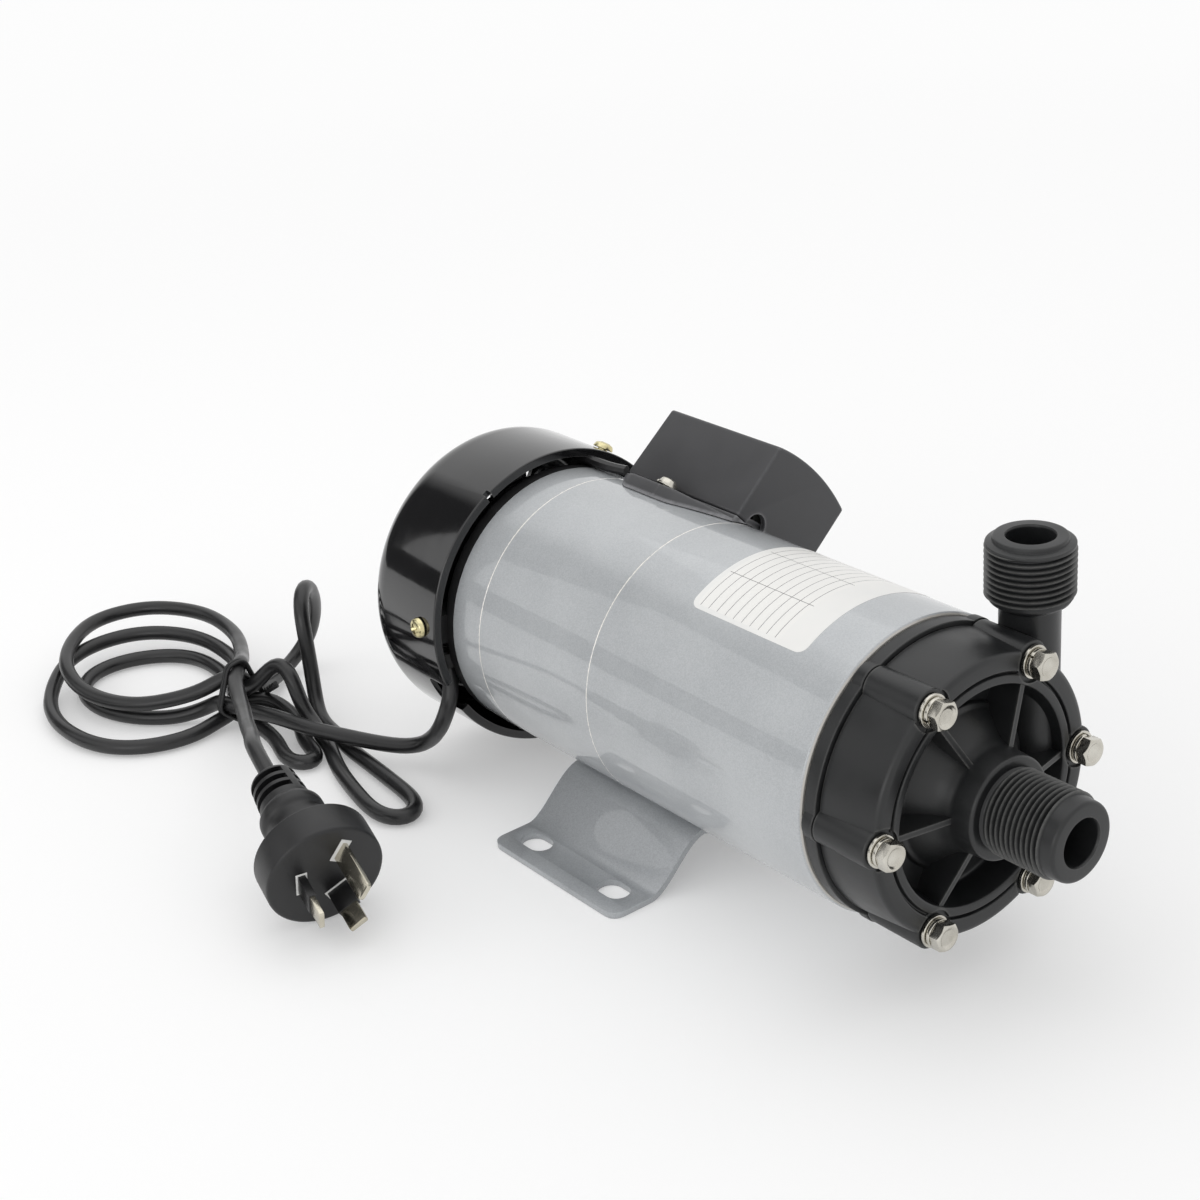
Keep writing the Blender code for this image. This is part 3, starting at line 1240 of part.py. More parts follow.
def plug():
    face_plug_frame()
    profile = [(0, 0), (0, PLUG_RADIUS - 1 * MM), (-1 * MM, PLUG_RADIUS), (-PLUG_DISC + 1.5 * MM, PLUG_RADIUS)]
    profile += [(-PLUG_DISC, PLUG_RADIUS - 1.5 * MM), (-PLUG_DISC, PLUG_SHOULDER_RADIUS)]
    profile += [(-PLUG_SHOULDER_END + 2 * MM, PLUG_SHOULDER_RADIUS - 0.6 * MM), (-PLUG_SHOULDER_END, PLUG_NECK_RADIUS + 1.5 * MM)]
    grooves = 3
    first = PLUG_SHOULDER_END + 1.5 * MM
    pitch = (PLUG_LENGTH - 5 * MM - first) / grooves
    for i in range(grooves):
        x = -first - i * pitch
        profile += [(x, PLUG_NECK_RADIUS), (x - pitch * 0.55, PLUG_NECK_RADIUS), (x - pitch * 0.6, PLUG_NECK_RADIUS - 1.4 * MM)]
        profile += [(x - pitch * 0.9, PLUG_NECK_RADIUS - 1.4 * MM)]
    profile += [(-PLUG_LENGTH + 4.5 * MM, PLUG_NECK_RADIUS), (-PLUG_LENGTH, 5.2 * MM), (-PLUG_LENGTH, 0)]
    body = turned("plug_body", profile, plug_pvc, steps=24, parent=plug_frame)
    s, c = math.sin(math.pi / 6), math.cos(math.pi / 6)
    pins = (
        ("plug_pin_earth", 0, -EARTH_PIN_CIRCLE, (0, 1), EARTH_PIN_LENGTH),
        ("plug_pin_line", LINE_PIN_CIRCLE * c, LINE_PIN_CIRCLE * s, (-s, c), LINE_PIN_LENGTH),
        ("plug_pin_neutral", -LINE_PIN_CIRCLE * c, LINE_PIN_CIRCLE * s, (s, c), LINE_PIN_LENGTH),
    )
    for name, y, z, (dy, dz), length in pins:
        turn = Matrix.Rotation(math.atan2(dz, dy), 4, "X")
        shape = block_bmesh((-PIN_ROOT, -PIN_WIDTH / 2, -PIN_THICKNESS / 2), (length, PIN_WIDTH / 2, PIN_THICKNESS / 2))
        tips = [e for e in shape.edges if all(v.co.x > length - 1e-5 for v in e.verts)]
        bmesh.ops.bevel(shape, geom=tips, offset=0.5 * MM, segments=1, affect="EDGES")
        moved(shape, turn)
        add(name, shape, pin_nickel, parent=plug_frame, place=(0, y, z), smooth=False)
        grow = GAP
        pocket = block_bmesh((-PIN_ROOT - grow, -PIN_WIDTH / 2 - grow, -PIN_THICKNESS / 2 - grow), (5 * MM, PIN_WIDTH / 2 + grow, PIN_THICKNESS / 2 + grow))
        cut(body, helper(f"{name}_pocket", moved(pocket, turn), plug_frame, (0, y, z)))


motor_tube()
stator_core()
windings()
rotor()
motor_shaft()
front_end_plate()
rear_end_plate()
cooling_fan()
fan_cover()
cover_screws()
mounting_foot()
terminal_box()
box_base()
box_screws()
capacitor()
box_lead()
front_casing()
motor_bracket()
casing_bolts()
rear_casing()
wet_end()
magnetic_drive()
cord_clamp()
tube("cord_lead", smooth_route(route_points(LEAD_ROUTE), 8 * MM), CORD_RADIUS, cord_pvc)
tube("plug_lead", smooth_route(route_points(PLUG_LEAD_ROUTE), 12 * MM), CORD_RADIUS, cord_pvc)
hank()
plug()
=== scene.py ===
# %% [markdown]
# # A magnetic drive pump, dressed for its portrait
#
# The solids of the pump arrive as a frame, already in their places. This lesson lays
# the cord, models the pieces that the eye meets first with more care than the solids
# have, and gives every piece a finish that starts from what the real one is made of.

# %% Load the frame
import json
import math

import bpy
import numpy as np
from mathutils import Matrix, Vector

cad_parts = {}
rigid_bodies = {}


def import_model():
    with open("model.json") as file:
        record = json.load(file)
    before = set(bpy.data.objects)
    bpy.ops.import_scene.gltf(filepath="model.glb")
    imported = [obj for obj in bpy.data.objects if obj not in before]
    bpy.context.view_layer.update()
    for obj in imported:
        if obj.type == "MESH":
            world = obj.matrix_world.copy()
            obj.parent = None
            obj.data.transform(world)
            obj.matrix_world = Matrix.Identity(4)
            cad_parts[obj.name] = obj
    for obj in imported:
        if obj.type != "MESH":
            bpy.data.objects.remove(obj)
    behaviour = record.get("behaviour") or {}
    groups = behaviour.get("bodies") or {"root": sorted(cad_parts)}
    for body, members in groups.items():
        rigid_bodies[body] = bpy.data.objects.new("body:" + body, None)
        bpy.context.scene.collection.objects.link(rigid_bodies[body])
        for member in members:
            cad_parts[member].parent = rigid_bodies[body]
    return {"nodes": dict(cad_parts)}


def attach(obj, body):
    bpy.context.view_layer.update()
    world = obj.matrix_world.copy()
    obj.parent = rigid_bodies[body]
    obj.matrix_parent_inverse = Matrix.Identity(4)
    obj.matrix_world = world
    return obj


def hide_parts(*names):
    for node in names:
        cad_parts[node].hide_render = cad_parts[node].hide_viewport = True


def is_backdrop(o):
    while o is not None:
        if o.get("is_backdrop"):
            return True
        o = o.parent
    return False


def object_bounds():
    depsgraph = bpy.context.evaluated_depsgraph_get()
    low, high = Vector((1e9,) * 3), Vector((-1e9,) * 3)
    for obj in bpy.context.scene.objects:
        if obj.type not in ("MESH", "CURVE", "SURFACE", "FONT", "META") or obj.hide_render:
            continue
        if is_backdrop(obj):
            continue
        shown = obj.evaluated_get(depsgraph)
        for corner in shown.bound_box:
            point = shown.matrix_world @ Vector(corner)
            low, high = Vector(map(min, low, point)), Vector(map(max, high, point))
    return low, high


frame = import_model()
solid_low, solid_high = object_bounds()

MM = 0.001
TAU = 2 * math.pi
print("nodes:", len(frame["nodes"]))

# %% [markdown]
# ## Places
#
# All sizes below are millimetres, counted from the pump axis, because a pump is drawn
# from its axis. Two small functions turn them into places in the frame: one counts
# heights from the axis, and the other from the floor, which is handier for the cord.

# %% Places
CENTRE_X = 8.05
CENTRE_Y = 2.335
AXIS_HEIGHT = 58.6
AXIS = Vector((-CENTRE_X, -CENTRE_Y, AXIS_HEIGHT)) * MM


def at(x, y, z):
    """A place counted from the pump axis, in millimetres."""
    return AXIS + Vector((x, y, z)) * MM


def on_floor(x, y, z):
    """The same, with its height counted from the floor."""
    return Vector((x - CENTRE_X, y - CENTRE_Y, z)) * MM


def polar(radius, degrees):
    """(y, z) at an angle that is counted from +Y towards +Z."""
    angle = math.radians(degrees)
    return radius * math.cos(angle), radius * math.sin(angle)


def turn_to(degrees):
    """Turns a piece that was modelled straight above the axis to an angle about it."""
    spin = Matrix.Rotation(math.radians(degrees - 90), 4, "X")
    return Matrix.Translation(AXIS) @ spin @ Matrix.Translation(-AXIS)


print("axis at", [round(v / MM, 2) for v in AXIS])

# %% [markdown]
# ## Camera
#
# The pump is seen from its front right, from a good way up, with a fairly long lens. A
# camera is turned by three directions: the one to its right, the one above it and the
# one behind it.

# %% Camera
CAMERA_PLACE = Vector((0.46304, -0.39911, 0.37117))
CAMERA_RIGHT = Vector((0.61989, 0.78149, -0.07080))
CAMERA_UP = Vector((-0.28850, 0.31088, 0.90561))
CAMERA_BACK = Vector((0.72973, -0.54095, 0.41817))

lens = bpy.data.cameras.new("camera")
lens.sensor_width = 36.0
lens.lens = 65.306
lens.clip_start = 0.01
lens.clip_end = 20.0
camera = bpy.data.objects.new("camera", lens)
facing = Matrix((CAMERA_RIGHT, CAMERA_UP, CAMERA_BACK)).transposed()
camera.matrix_world = Matrix.Translation(CAMERA_PLACE) @ facing.to_4x4()
bpy.context.scene.collection.objects.link(camera)
bpy.context.scene.camera = camera
print("camera", round(CAMERA_PLACE.length, 3), "m from the origin")

# %% [markdown]
# ## Drawing and turning
#
# Most of this pump was turned, pressed or moulded round its axis. The handiest way to
# model such a shape is to draw half of its section, one extruded point after another,
# and to spin it. A corner of the section can carry a third number, the size of its
# rounding, because no moulded or pressed edge is perfectly sharp.

# %% Selecting
def only(made):
    """Selects one object and nothing else, in object mode."""
    if bpy.context.mode != "OBJECT":
        bpy.ops.object.mode_set(mode="OBJECT")
    bpy.ops.object.select_all(action="DESELECT")
    made.select_set(True)
    bpy.context.view_layer.objects.active = made
    return made


# %% Drawing an outline
def draw(name, places):
    """Draws a line through places, by extruding a single point."""
    if bpy.context.mode != "OBJECT":
        bpy.ops.object.mode_set(mode="OBJECT")
    bpy.ops.object.select_all(action="DESELECT")
    bpy.ops.mesh.primitive_plane_add(size=MM, location=places[0])
    bpy.ops.object.transform_apply(location=True, rotation=False, scale=False)
    made = bpy.context.object
    made.name = made.data.name = name
    bpy.ops.object.mode_set(mode="EDIT")
    bpy.ops.mesh.merge(type="CENTER")
    for before, after in zip(places, places[1:]):
        step = {"value": after - before}
        bpy.ops.mesh.extrude_vertices_move(TRANSFORM_OT_translate=step)
    bpy.ops.mesh.select_all(action="SELECT")
    return made


def soften(corners, closed=False, steps=4):
    """Puts a small arc in place of each corner that has a third number."""
    line = []
    count = len(corners)
    for i, corner in enumerate(corners):
        here = Vector(corner[:2])
        size = corner[2] if len(corner) > 2 else 0
        if not size or not (closed or 0 < i < count - 1):
            line.append(here)
            continue
        back = Vector(corners[i - 1][:2]) - here
        ahead = Vector(corners[(i + 1) % count][:2]) - here
        start = here + back.normalized() * min(size, back.length * 0.49)
        end = here + ahead.normalized() * min(size, ahead.length * 0.49)
        for k in range(steps + 1):
            t = k / steps
            line.append(start * (1 - t) ** 2 + here * (2 * t * (1 - t)) + end * t**2)
    return line


# %% Spinning and extruding
def turned(name, corners, steps=96, ring=False, centre=AXIS, standing=False, arcs=4):
    """Spins an (along, radius) outline about the pump axis, or about an upright one."""
    line = soften(corners, closed=ring, steps=arcs)
    if ring:
        line.append(line[0])
    if standing:
        places = [centre + Vector((p[1], 0, p[0])) * MM for p in line]
        way = (0, 0, 1)
    else:
        places = [centre + Vector((p[0], 0, p[1])) * MM for p in line]
        way = (1, 0, 0)
    made = draw(name, places)
    bpy.ops.mesh.spin(steps=steps, angle=TAU, center=centre, axis=way)
    bpy.ops.mesh.select_all(action="SELECT")
    bpy.ops.mesh.remove_doubles(threshold=2e-6)
    bpy.ops.mesh.delete_loose(use_verts=True, use_edges=True, use_faces=False)
    bpy.ops.mesh.select_all(action="SELECT")
    bpy.ops.mesh.normals_make_consistent(inside=False)
    return only(made)


def extruded(name, places, way):
    """Fills a closed outline and pulls it along a direction."""
    made = draw(name, places)
    bpy.ops.mesh.edge_face_add()
    bpy.ops.mesh.extrude_region_move(TRANSFORM_OT_translate={"value": way})
    bpy.ops.mesh.select_all(action="SELECT")
    bpy.ops.mesh.normals_make_consistent(inside=False)
    return only(made)


def arc(radius, start, end, count, centre=(0, 0)):
    """Points of an arc from one angle to another, both included."""
    turns = [start + (end - start) * i / (count - 1) for i in range(count)]
    return [(centre[0] + polar(radius, a)[0], centre[1] + polar(radius, a)[1]) for a in turns]


def block(name, low, high):
    """A cutter with square corners, between two corners counted from the axis."""
    places = [at(low[0], low[1], low[2]), at(high[0], low[1], low[2])]
    places += [at(high[0], high[1], low[2]), at(low[0], high[1], low[2])]
    return extruded(name, places, Vector((0, 0, high[2] - low[2])) * MM)


def bar(name, radius, start, end, centre=AXIS, standing=False, steps=32):
    """A round bar, used to cut bores and to build bosses."""
    corners = [(start, 0), (start, radius), (end, radius), (end, 0)]
    return turned(name, corners, steps, centre=centre, standing=standing)


# %% Joining, cutting and copying
def together(pieces):
    """Makes one object of several."""
    first = only(pieces[0])
    for other in pieces[1:]:
        other.select_set(True)
    if len(pieces) > 1:
        bpy.ops.object.join()
    return first


def clean(made):
    """Merges what lies in one place, and drops faces and edges with no size."""
    only(made)
    bpy.ops.object.mode_set(mode="EDIT")
    bpy.ops.mesh.select_all(action="SELECT")
    bpy.ops.mesh.remove_doubles(threshold=4e-6)
    bpy.ops.mesh.dissolve_degenerate(threshold=4e-6)
    return only(made)


def solid(target, tools, operation):
    """Cuts, joins or intersects a piece with others, which are then gone."""
    tool = together(tools)
    modifier = target.modifiers.new(operation.lower(), "BOOLEAN")
    modifier.operation = operation
    modifier.solver = "EXACT"
    modifier.object = tool
    only(target)
    bpy.ops.object.modifier_apply(modifier=modifier.name)
    bpy.data.objects.remove(tool, do_unlink=True)
    return clean(target)


def round_edges(made, width, segments=2, angle=35):
    """Rounds the edges that are sharper than an angle."""
    modifier = made.modifiers.new("round edges", "BEVEL")
    modifier.width = width * MM
    modifier.segments = segments
    modifier.limit_method = "ANGLE"
    modifier.angle_limit = math.radians(angle)
    only(made)
    bpy.ops.object.modifier_apply(modifier=modifier.name)
    return made


def copy_of(made, name, place):
    """A copy with a mesh of its own, moved or turned by a matrix."""
    twin = made.copy()
    twin.data = made.data.copy()
    twin.name = twin.data.name = name
    twin.data.transform(place)
    bpy.context.scene.collection.objects.link(twin)
    return twin


def copies_round(made, angles):
    """Copies of a piece at several angles about the axis, in place of the first."""
    twins = [copy_of(made, f"{made.name}_{i + 1}", turn_to(a)) for i, a in enumerate(angles)]
    bpy.data.objects.remove(made, do_unlink=True)
    return twins


# %% [markdown]
# ## Colours and nodes
#
# Colours are written as a painter's chart gives them, in sRGB, and one function turns
# them into the linear values that a shader wants. Another adds a node with its settings
# and its links, so that each finish reads as a short recipe.

# %% Colours and nodes
def linear(code):
    """An sRGB hex colour as linear red, green, blue and alpha."""
    parts = [int(code[i : i + 2], 16) / 255 for i in (1, 3, 5)]
    return (*[p / 12.92 if p < 0.04045 else ((p + 0.055) / 1.055) ** 2.4 for p in parts], 1.0)


def put(tree, kind, settings=None, **inputs):
    """Adds a node, sets it up, and fills or links its inputs by name or by number."""
    made = tree.nodes.new(kind)
    for key, value in (settings or {}).items():
        setattr(made, key, value)
    for key, value in inputs.items():
        where = int(key[1:]) if key[0] == "n" and key[1:].isdigit() else key.replace("_", " ")
        socket = made.inputs[where]
        if isinstance(value, bpy.types.NodeSocket):
            tree.links.new(value, socket)
        else:
            socket.default_value = value
    return made


def start_material(name, roughness=0.5, metallic=0.0, **sockets):
    """A new material with its own shader, and object coordinates in millimetres."""
    made = bpy.data.materials.new(name)
    made.use_nodes = True
    tree = made.node_tree
    shader = tree.nodes["Principled BSDF"]
    shader.inputs["Roughness"].default_value = roughness
    shader.inputs["Metallic"].default_value = metallic
    for key, value in sockets.items():
        shader.inputs[key.replace("_", " ")].default_value = value
    place = put(tree, "ShaderNodeTexCoord").outputs["Object"]
    in_mm = put(tree, "ShaderNodeVectorMath", {"operation": "SCALE"}, Vector=place, Scale=1000.0)
    return made, tree, shader, in_mm.outputs[0]


def edge_wear_and_highlight(tree, reach):
    """1 on sharp outer edges and 0 elsewhere: there, little solid lies behind the skin."""
    inside = put(tree, "ShaderNodeAmbientOcclusion", {"inside": True, "only_local": True, "samples": 6}, Distance=reach * MM)
    spread = {"clamp": True}
    edge = put(tree, "ShaderNodeMapRange", spread, n0=inside.outputs["AO"], n1=0.85, n2=0.48, n3=0.0, n4=1.0)
    return edge.outputs[0]


def mix(tree, factor, one, other):
    """A blend of two colours, each a hex code or a socket."""
    blend = put(tree, "ShaderNodeMix", {"data_type": "RGBA"}, n0=factor)
    for number, value in ((6, one), (7, other)):
        if isinstance(value, str):
            blend.inputs[number].default_value = linear(value)
        else:
            tree.links.new(value, blend.inputs[number])
    return blend.outputs[2]


def noise(tree, place, size, detail=3.0, rough=0.5):
    """A cloudy pattern whose lumps are about size millimetres across."""
    made = put(tree, "ShaderNodeTexNoise", Vector=place, Scale=1.0 / size, Detail=detail, Roughness=rough)
    return made.outputs["Fac"]


def span(tree, value, low, high, to_low, to_high):
    made = put(tree, "ShaderNodeMapRange", {"clamp": True}, n0=value, n1=low, n2=high, n3=to_low, n4=to_high)
    return made.outputs[0]


def bump(tree, shader, height, distance, strength=1.0):
    """Raises the surface by distance millimetres where the pattern is white."""
    made = put(tree, "ShaderNodeBump", Height=height, Distance=distance * MM, Strength=strength)
    tree.links.new(made.outputs[0], shader.inputs["Normal"])


# %% [markdown]
# ## Moulded black plastic
#
# The pump head is injection-moulded from glass-filled polypropylene. Its skin is a dull
# black with a faint orange-peel, a little cloudy where the glass lies near the surface,
# and its sharp edges are paler: partly where they were rubbed or trimmed, and partly a
# painted highlight along each edge.

# %% Moulded black plastic
def moulded_plastic(name, body, cloud, edge, roughness, peel=0.9, wear_and_highlight_reach=0.7, depth=0.02):
    made, tree, shader, place = start_material(name, roughness, IOR=1.49)
    clouds = noise(tree, place, 14.0, 4.0)
    colour = mix(tree, span(tree, clouds, 0.35, 0.7, 0.0, 1.0), body, cloud)
    specks = span(tree, noise(tree, place, 2.2, 6.0, 0.7), 0.3, 0.75, 0.35, 1.0)
    # Paler sharp edges: partly real rubbing, partly a painted highlight along each edge.
    rubbed_and_highlit = put(tree, "ShaderNodeMath", {"operation": "MULTIPLY"}, n0=edge_wear_and_highlight(tree, wear_and_highlight_reach), n1=specks)
    colour = mix(tree, rubbed_and_highlit.outputs[0], colour, edge)
    tree.links.new(colour, shader.inputs["Base Color"])
    gloss = span(tree, clouds, 0.3, 0.7, roughness - 0.06, roughness + 0.08)
    tree.links.new(gloss, shader.inputs["Roughness"])
    bump(tree, shader, noise(tree, place, peel, 4.0, 0.6), depth)
    return made


head_plastic = moulded_plastic("glass_filled_polypropylene", "#191a1b", "#202122", "#5c5c5a", 0.38, wear_and_highlight_reach=0.9)
box_plastic = moulded_plastic("charcoal_abs", "#3b3b3d", "#424244", "#8d8d90", 0.48, peel=0.5, wear_and_highlight_reach=1.3)
fan_plastic = moulded_plastic("black_fan_nylon", "#202022", "#262628", "#48484a", 0.5)
print("plastics:", head_plastic.name, box_plastic.name, fan_plastic.name)

# %% [markdown]
# ## Silver paint
#
# The motor's tube and foot are steel under a silver-grey lacquer with fine aluminium
# flake. The flake is far finer than a render can show, so it is drawn a third of a
# millimetre across, and the clear lacquer over it gives soft but clear reflections. Two
# thin lines were turned into the tube, and bare metal shines out of them.

# %% Silver paint
def flake_paint(name, pale, deep, lines=(), rim=None):
    made, tree, shader, place = start_material(
        name, 0.48, 0.3, Coat_Weight=1.0, Coat_Roughness=0.05, IOR=1.5
    )
    flake = put(tree, "ShaderNodeTexVoronoi", Vector=place, Scale=3.2).outputs["Color"]
    grey = put(tree, "ShaderNodeSeparateColor", Color=flake).outputs[0]
    cloud = noise(tree, place, 30.0, 3.0)
    both = put(tree, "ShaderNodeMath", {"operation": "MULTIPLY_ADD"}, n0=grey, n1=0.55, n2=cloud)
    colour = mix(tree, span(tree, both.outputs[0], 0.3, 1.1, 0.0, 1.0), deep, pale)
    gloss = span(tree, grey, 0.0, 1.0, 0.42, 0.54)
    along = put(tree, "ShaderNodeSeparateXYZ", Vector=place).outputs[0]
    ragged = span(tree, noise(tree, place, 1.2, 2.0), 0.3, 0.7, 0.10, 0.30)
    for x in lines:
        off = put(tree, "ShaderNodeMath", {"operation": "SUBTRACT"}, n0=along, n1=x - CENTRE_X)
        away = put(tree, "ShaderNodeMath", {"operation": "ABSOLUTE"}, n0=off.outputs[0])
        there = put(tree, "ShaderNodeMath", {"operation": "LESS_THAN"}, n0=away.outputs[0], n1=ragged)
        colour = mix(tree, there.outputs[0], colour, "#e9e6e0")
    if rim is not None:
        bare = put(tree, "ShaderNodeMath", {"operation": "GREATER_THAN"}, n0=along, n1=rim - CENTRE_X)
        colour = mix(tree, bare.outputs[0], colour, "#b9b6b0")
    tree.links.new(colour, shader.inputs["Base Color"])
    tree.links.new(gloss, shader.inputs["Roughness"])
    bump(tree, shader, cloud, 0.03)
    return made


tube_paint = flake_paint("silver_flake_lacquer", "#bcbfc1", "#a6a9ac", (-69.96, -12.99), rim=82.6)
foot_paint = flake_paint("grey_flake_lacquer", "#b1b4b7", "#999c9f")

# %% [markdown]
# ## Stoved black enamel
#
# The fan cover is a deep pressing with black enamel baked on it. It is almost a mirror,
# with a slight waviness, a few dull specks of dust, and a paler line where the enamel
# is thin along its rim.

# %% Stoved black enamel
def black_enamel():
    made, tree, shader, place = start_material("stoved_black_enamel", 0.10, IOR=1.56, Coat_Weight=0.5, Coat_Roughness=0.05)
    dust = span(tree, noise(tree, place, 0.9, 5.0, 0.75), 0.66, 0.78, 0.0, 0.5)
    colour = mix(tree, dust, "#0b0b0d", "#2c2c2e")
    colour = mix(tree, edge_wear_and_highlight(tree, 0.35), colour, "#4a4a4a")
    tree.links.new(colour, shader.inputs["Base Color"])
    gloss = span(tree, noise(tree, place, 9.0, 3.0), 0.3, 0.7, 0.07, 0.14)
    tree.links.new(gloss, shader.inputs["Roughness"])
    bump(tree, shader, noise(tree, place, 12.0, 2.0), 0.05)
    return made


cover_enamel = black_enamel()

# %% [markdown]
# ## Metals
#
# Fasteners are bright stainless steel, with the faint turning marks of their making.
# The cover's screws are steel with a yellow zinc finish. The plug's pins are brass
# under nickel. Inside are ground steel, laminated steel, cast aluminium and copper wire.

# %% Metals
def metal(name, pale, deep, roughness, grain=(0.4, 0.4, 0.4), spread=0.08, depth=0.01, metallic=1.0):
    made, tree, shader, place = start_material(name, roughness, metallic)
    size = tuple(1.0 / g for g in grain)
    stretched = put(tree, "ShaderNodeVectorMath", {"operation": "MULTIPLY"}, n0=place, n1=size).outputs[0]
    marks = noise(tree, stretched, 1.0, 4.0, 0.6)
    patches = noise(tree, place, 6.0, 2.0)
    tree.links.new(mix(tree, span(tree, patches, 0.3, 0.7, 0.0, 1.0), deep, pale), shader.inputs["Base Color"])
    gloss = span(tree, marks, 0.25, 0.75, roughness - spread, roughness + spread)
    tree.links.new(gloss, shader.inputs["Roughness"])
    bump(tree, shader, marks, depth)
    return made


stainless = metal("bright_stainless", "#d2cfc6", "#bcb8ae", 0.24, (0.3, 0.3, 0.3))
yellow_zinc = metal("yellow_zinc_plate", "#dcd4aa", "#cbbf92", 0.22, (0.5, 0.5, 0.5))
pin_nickel = metal("nickelled_brass", "#cfcabb", "#b9b3a2", 0.20, (0.25, 2.5, 2.5))
ground_steel = metal("ground_steel", "#b9b9b8", "#a6a6a6", 0.28, (3.0, 0.15, 0.15))
laminated_steel = metal("laminated_steel", "#7d7f82", "#66686b", 0.45, (0.5, 6.0, 6.0), depth=0.06)
cast_aluminium = metal("cast_aluminium", "#b2b3b5", "#98999b", 0.48, (0.6, 0.6, 0.6), depth=0.05)
copper_wire = metal("enamelled_copper_wire", "#b8683a", "#8f4a26", 0.32, (4.0, 0.7, 0.7), depth=0.15)
print("metals made")

# %% [markdown]
# ## Soft black plastics and the rest
#
# The cord's jacket and the plug are soft PVC, black with a low sheen, a little dusty and
# scuffed. The magnets are dull ferrite, the spindle a white ceramic, and the bushing
# a dense carbon.

# %% Soft plastics, magnets and ceramics
def plain(name, body, cloud, roughness, lump=1.2, depth=0.015, metallic=0.0, **sockets):
    made, tree, shader, place = start_material(name, roughness, metallic, **sockets)
    lumps = noise(tree, place, lump, 5.0, 0.6)
    wide = noise(tree, place, lump * 12, 3.0)
    tree.links.new(mix(tree, span(tree, wide, 0.35, 0.7, 0.0, 1.0), body, cloud), shader.inputs["Base Color"])
    gloss = span(tree, wide, 0.3, 0.7, roughness - 0.05, roughness + 0.07)
    tree.links.new(gloss, shader.inputs["Roughness"])
    bump(tree, shader, lumps, depth)
    return made


cord_pvc = plain("cord_jacket_pvc", "#161617", "#1e1e1f", 0.33, 0.7, 0.012, IOR=1.53)
plug_pvc = plain("moulded_plug_pvc", "#121213", "#18181a", 0.42, 0.6, 0.02, IOR=1.53)
tie_wire = plain("coated_tie_wire", "#141415", "#1c1c1d", 0.45, 0.5, 0.02)
seal_rubber = plain("seal_rubber", "#141414", "#1b1b1b", 0.6, 0.8)
ferrite = plain("sintered_ferrite", "#3c3c3e", "#4a4a4b", 0.6, 0.6, 0.03, 0.3)
ceramic = plain("alumina_ceramic", "#ece8de", "#e2ddd0", 0.28, 0.6, 0.005)
carbon = plain("carbon_bushing", "#2c2c2d", "#353536", 0.45, 0.4, 0.02)
can_plastic = plain("capacitor_can", "#cfcfcb", "#c4c4c0", 0.4, 0.8)
sleeve_pvc = plain("pin_sleeve", "#131314", "#19191a", 0.35, 0.5, 0.01)
insert_white = plain("white_pin_insert", "#e4e4e2", "#d8d8d6", 0.5, 0.6, 0.01)
wire_green = plain("earth_wire_green", "#1f8a63", "#2a9a6e", 0.4, 0.5, 0.01)
# A near-black finish for the rear end plate, which is seen only in the gap behind the cover's rim.
black_end_plate = plain("black_painted_casting", "#161617", "#1d1d1e", 0.5, 0.8, 0.03, 0.2)

# %% [markdown]
# ## The cord
#
# The photo shows the whole cord. It leaves the motor through a notch in the cover,
# falls to the floor and runs to a hank, where it is folded into loops to both sides of a
# tie, and its last stretch leaves the top of the tie for the plug. The stretches below
# are listed in that order. A cord can't pass through itself, and a stiff jacket
# evens out its own bends, so the loops then settle a little: each point is drawn towards
# the middle of its neighbours, and pushed off any other strand nearer than a diameter.

# %% The cord's route
CORD = 5.6
LEAD = [
    (-94.0, -45.0, 50.3), (-93.3, -44.6, 45.0), (-92.0, -45.1, 41.1), (-90.6, -46.5, 36.8),
    (-90.7, -48.0, 32.4), (-93.0, -48.7, 27.2), (-97.3, -48.5, 21.4), (-103.8, -48.0, 15.2),
    (-109.9, -49.1, 11.0), (-115.9, -52.6, 9.4), (-124.5, -57.2, 9.0),
]
INTO_TIE = [
    (-133.8, -61.6, 9.2), (-140.2, -64.8, 9.6), (-145.6, -68.4, 10.2), (-152.5, -71.3, 10.8),
    (-160.5, -73.2, 11.0), (-170.5, -75.5, 10.5), (-179.5, -78.4, 9.8), (-189.0, -79.0, 9.0),
]
LONG_LOOP = [
    (-198.5, -83.0, 6.5), (-207.0, -93.8, 3.0), (-219.0, -105.7, 3.0), (-235.6, -111.8, 3.0),
    (-252.5, -110.0, 3.0), (-264.0, -101.0, 3.0), (-266.0, -87.0, 3.0), (-259.0, -72.7, 3.0),
    (-245.8, -64.0, 3.0), (-224.0, -63.8, 3.0), (-206.0, -70.0, 3.0),
]
SMALL_LOOP = [
    (-190.0, -76.0, 3.0), (-176.5, -75.6, 3.0), (-163.0, -77.0, 3.0), (-153.0, -80.6, 3.0),
    (-145.0, -81.8, 3.0), (-139.4, -78.0, 3.0), (-140.6, -72.4, 3.0), (-148.0, -69.6, 3.0),
    (-158.0, -67.0, 3.0), (-166.0, -64.6, 4.0), (-177.1, -64.4, 6.0), (-185.9, -66.3, 8.0),
    (-189.0, -73.0, 8.4),
]
NEAR_LOOP = [
    (-193.0, -82.0, 5.0), (-190.0, -92.0, 3.0), (-190.5, -104.0, 3.0), (-196.0, -116.0, 3.0),
    (-206.5, -124.8, 3.0), (-220.0, -129.0, 3.5), (-238.0, -128.6, 3.5), (-256.0, -122.0, 4.5),
    (-272.7, -106.0, 8.0), (-277.2, -87.8, 8.6), (-271.0, -71.0, 8.6), (-251.5, -59.5, 8.6),
    (-226.0, -59.0, 8.8), (-205.0, -67.0, 12.0),
]
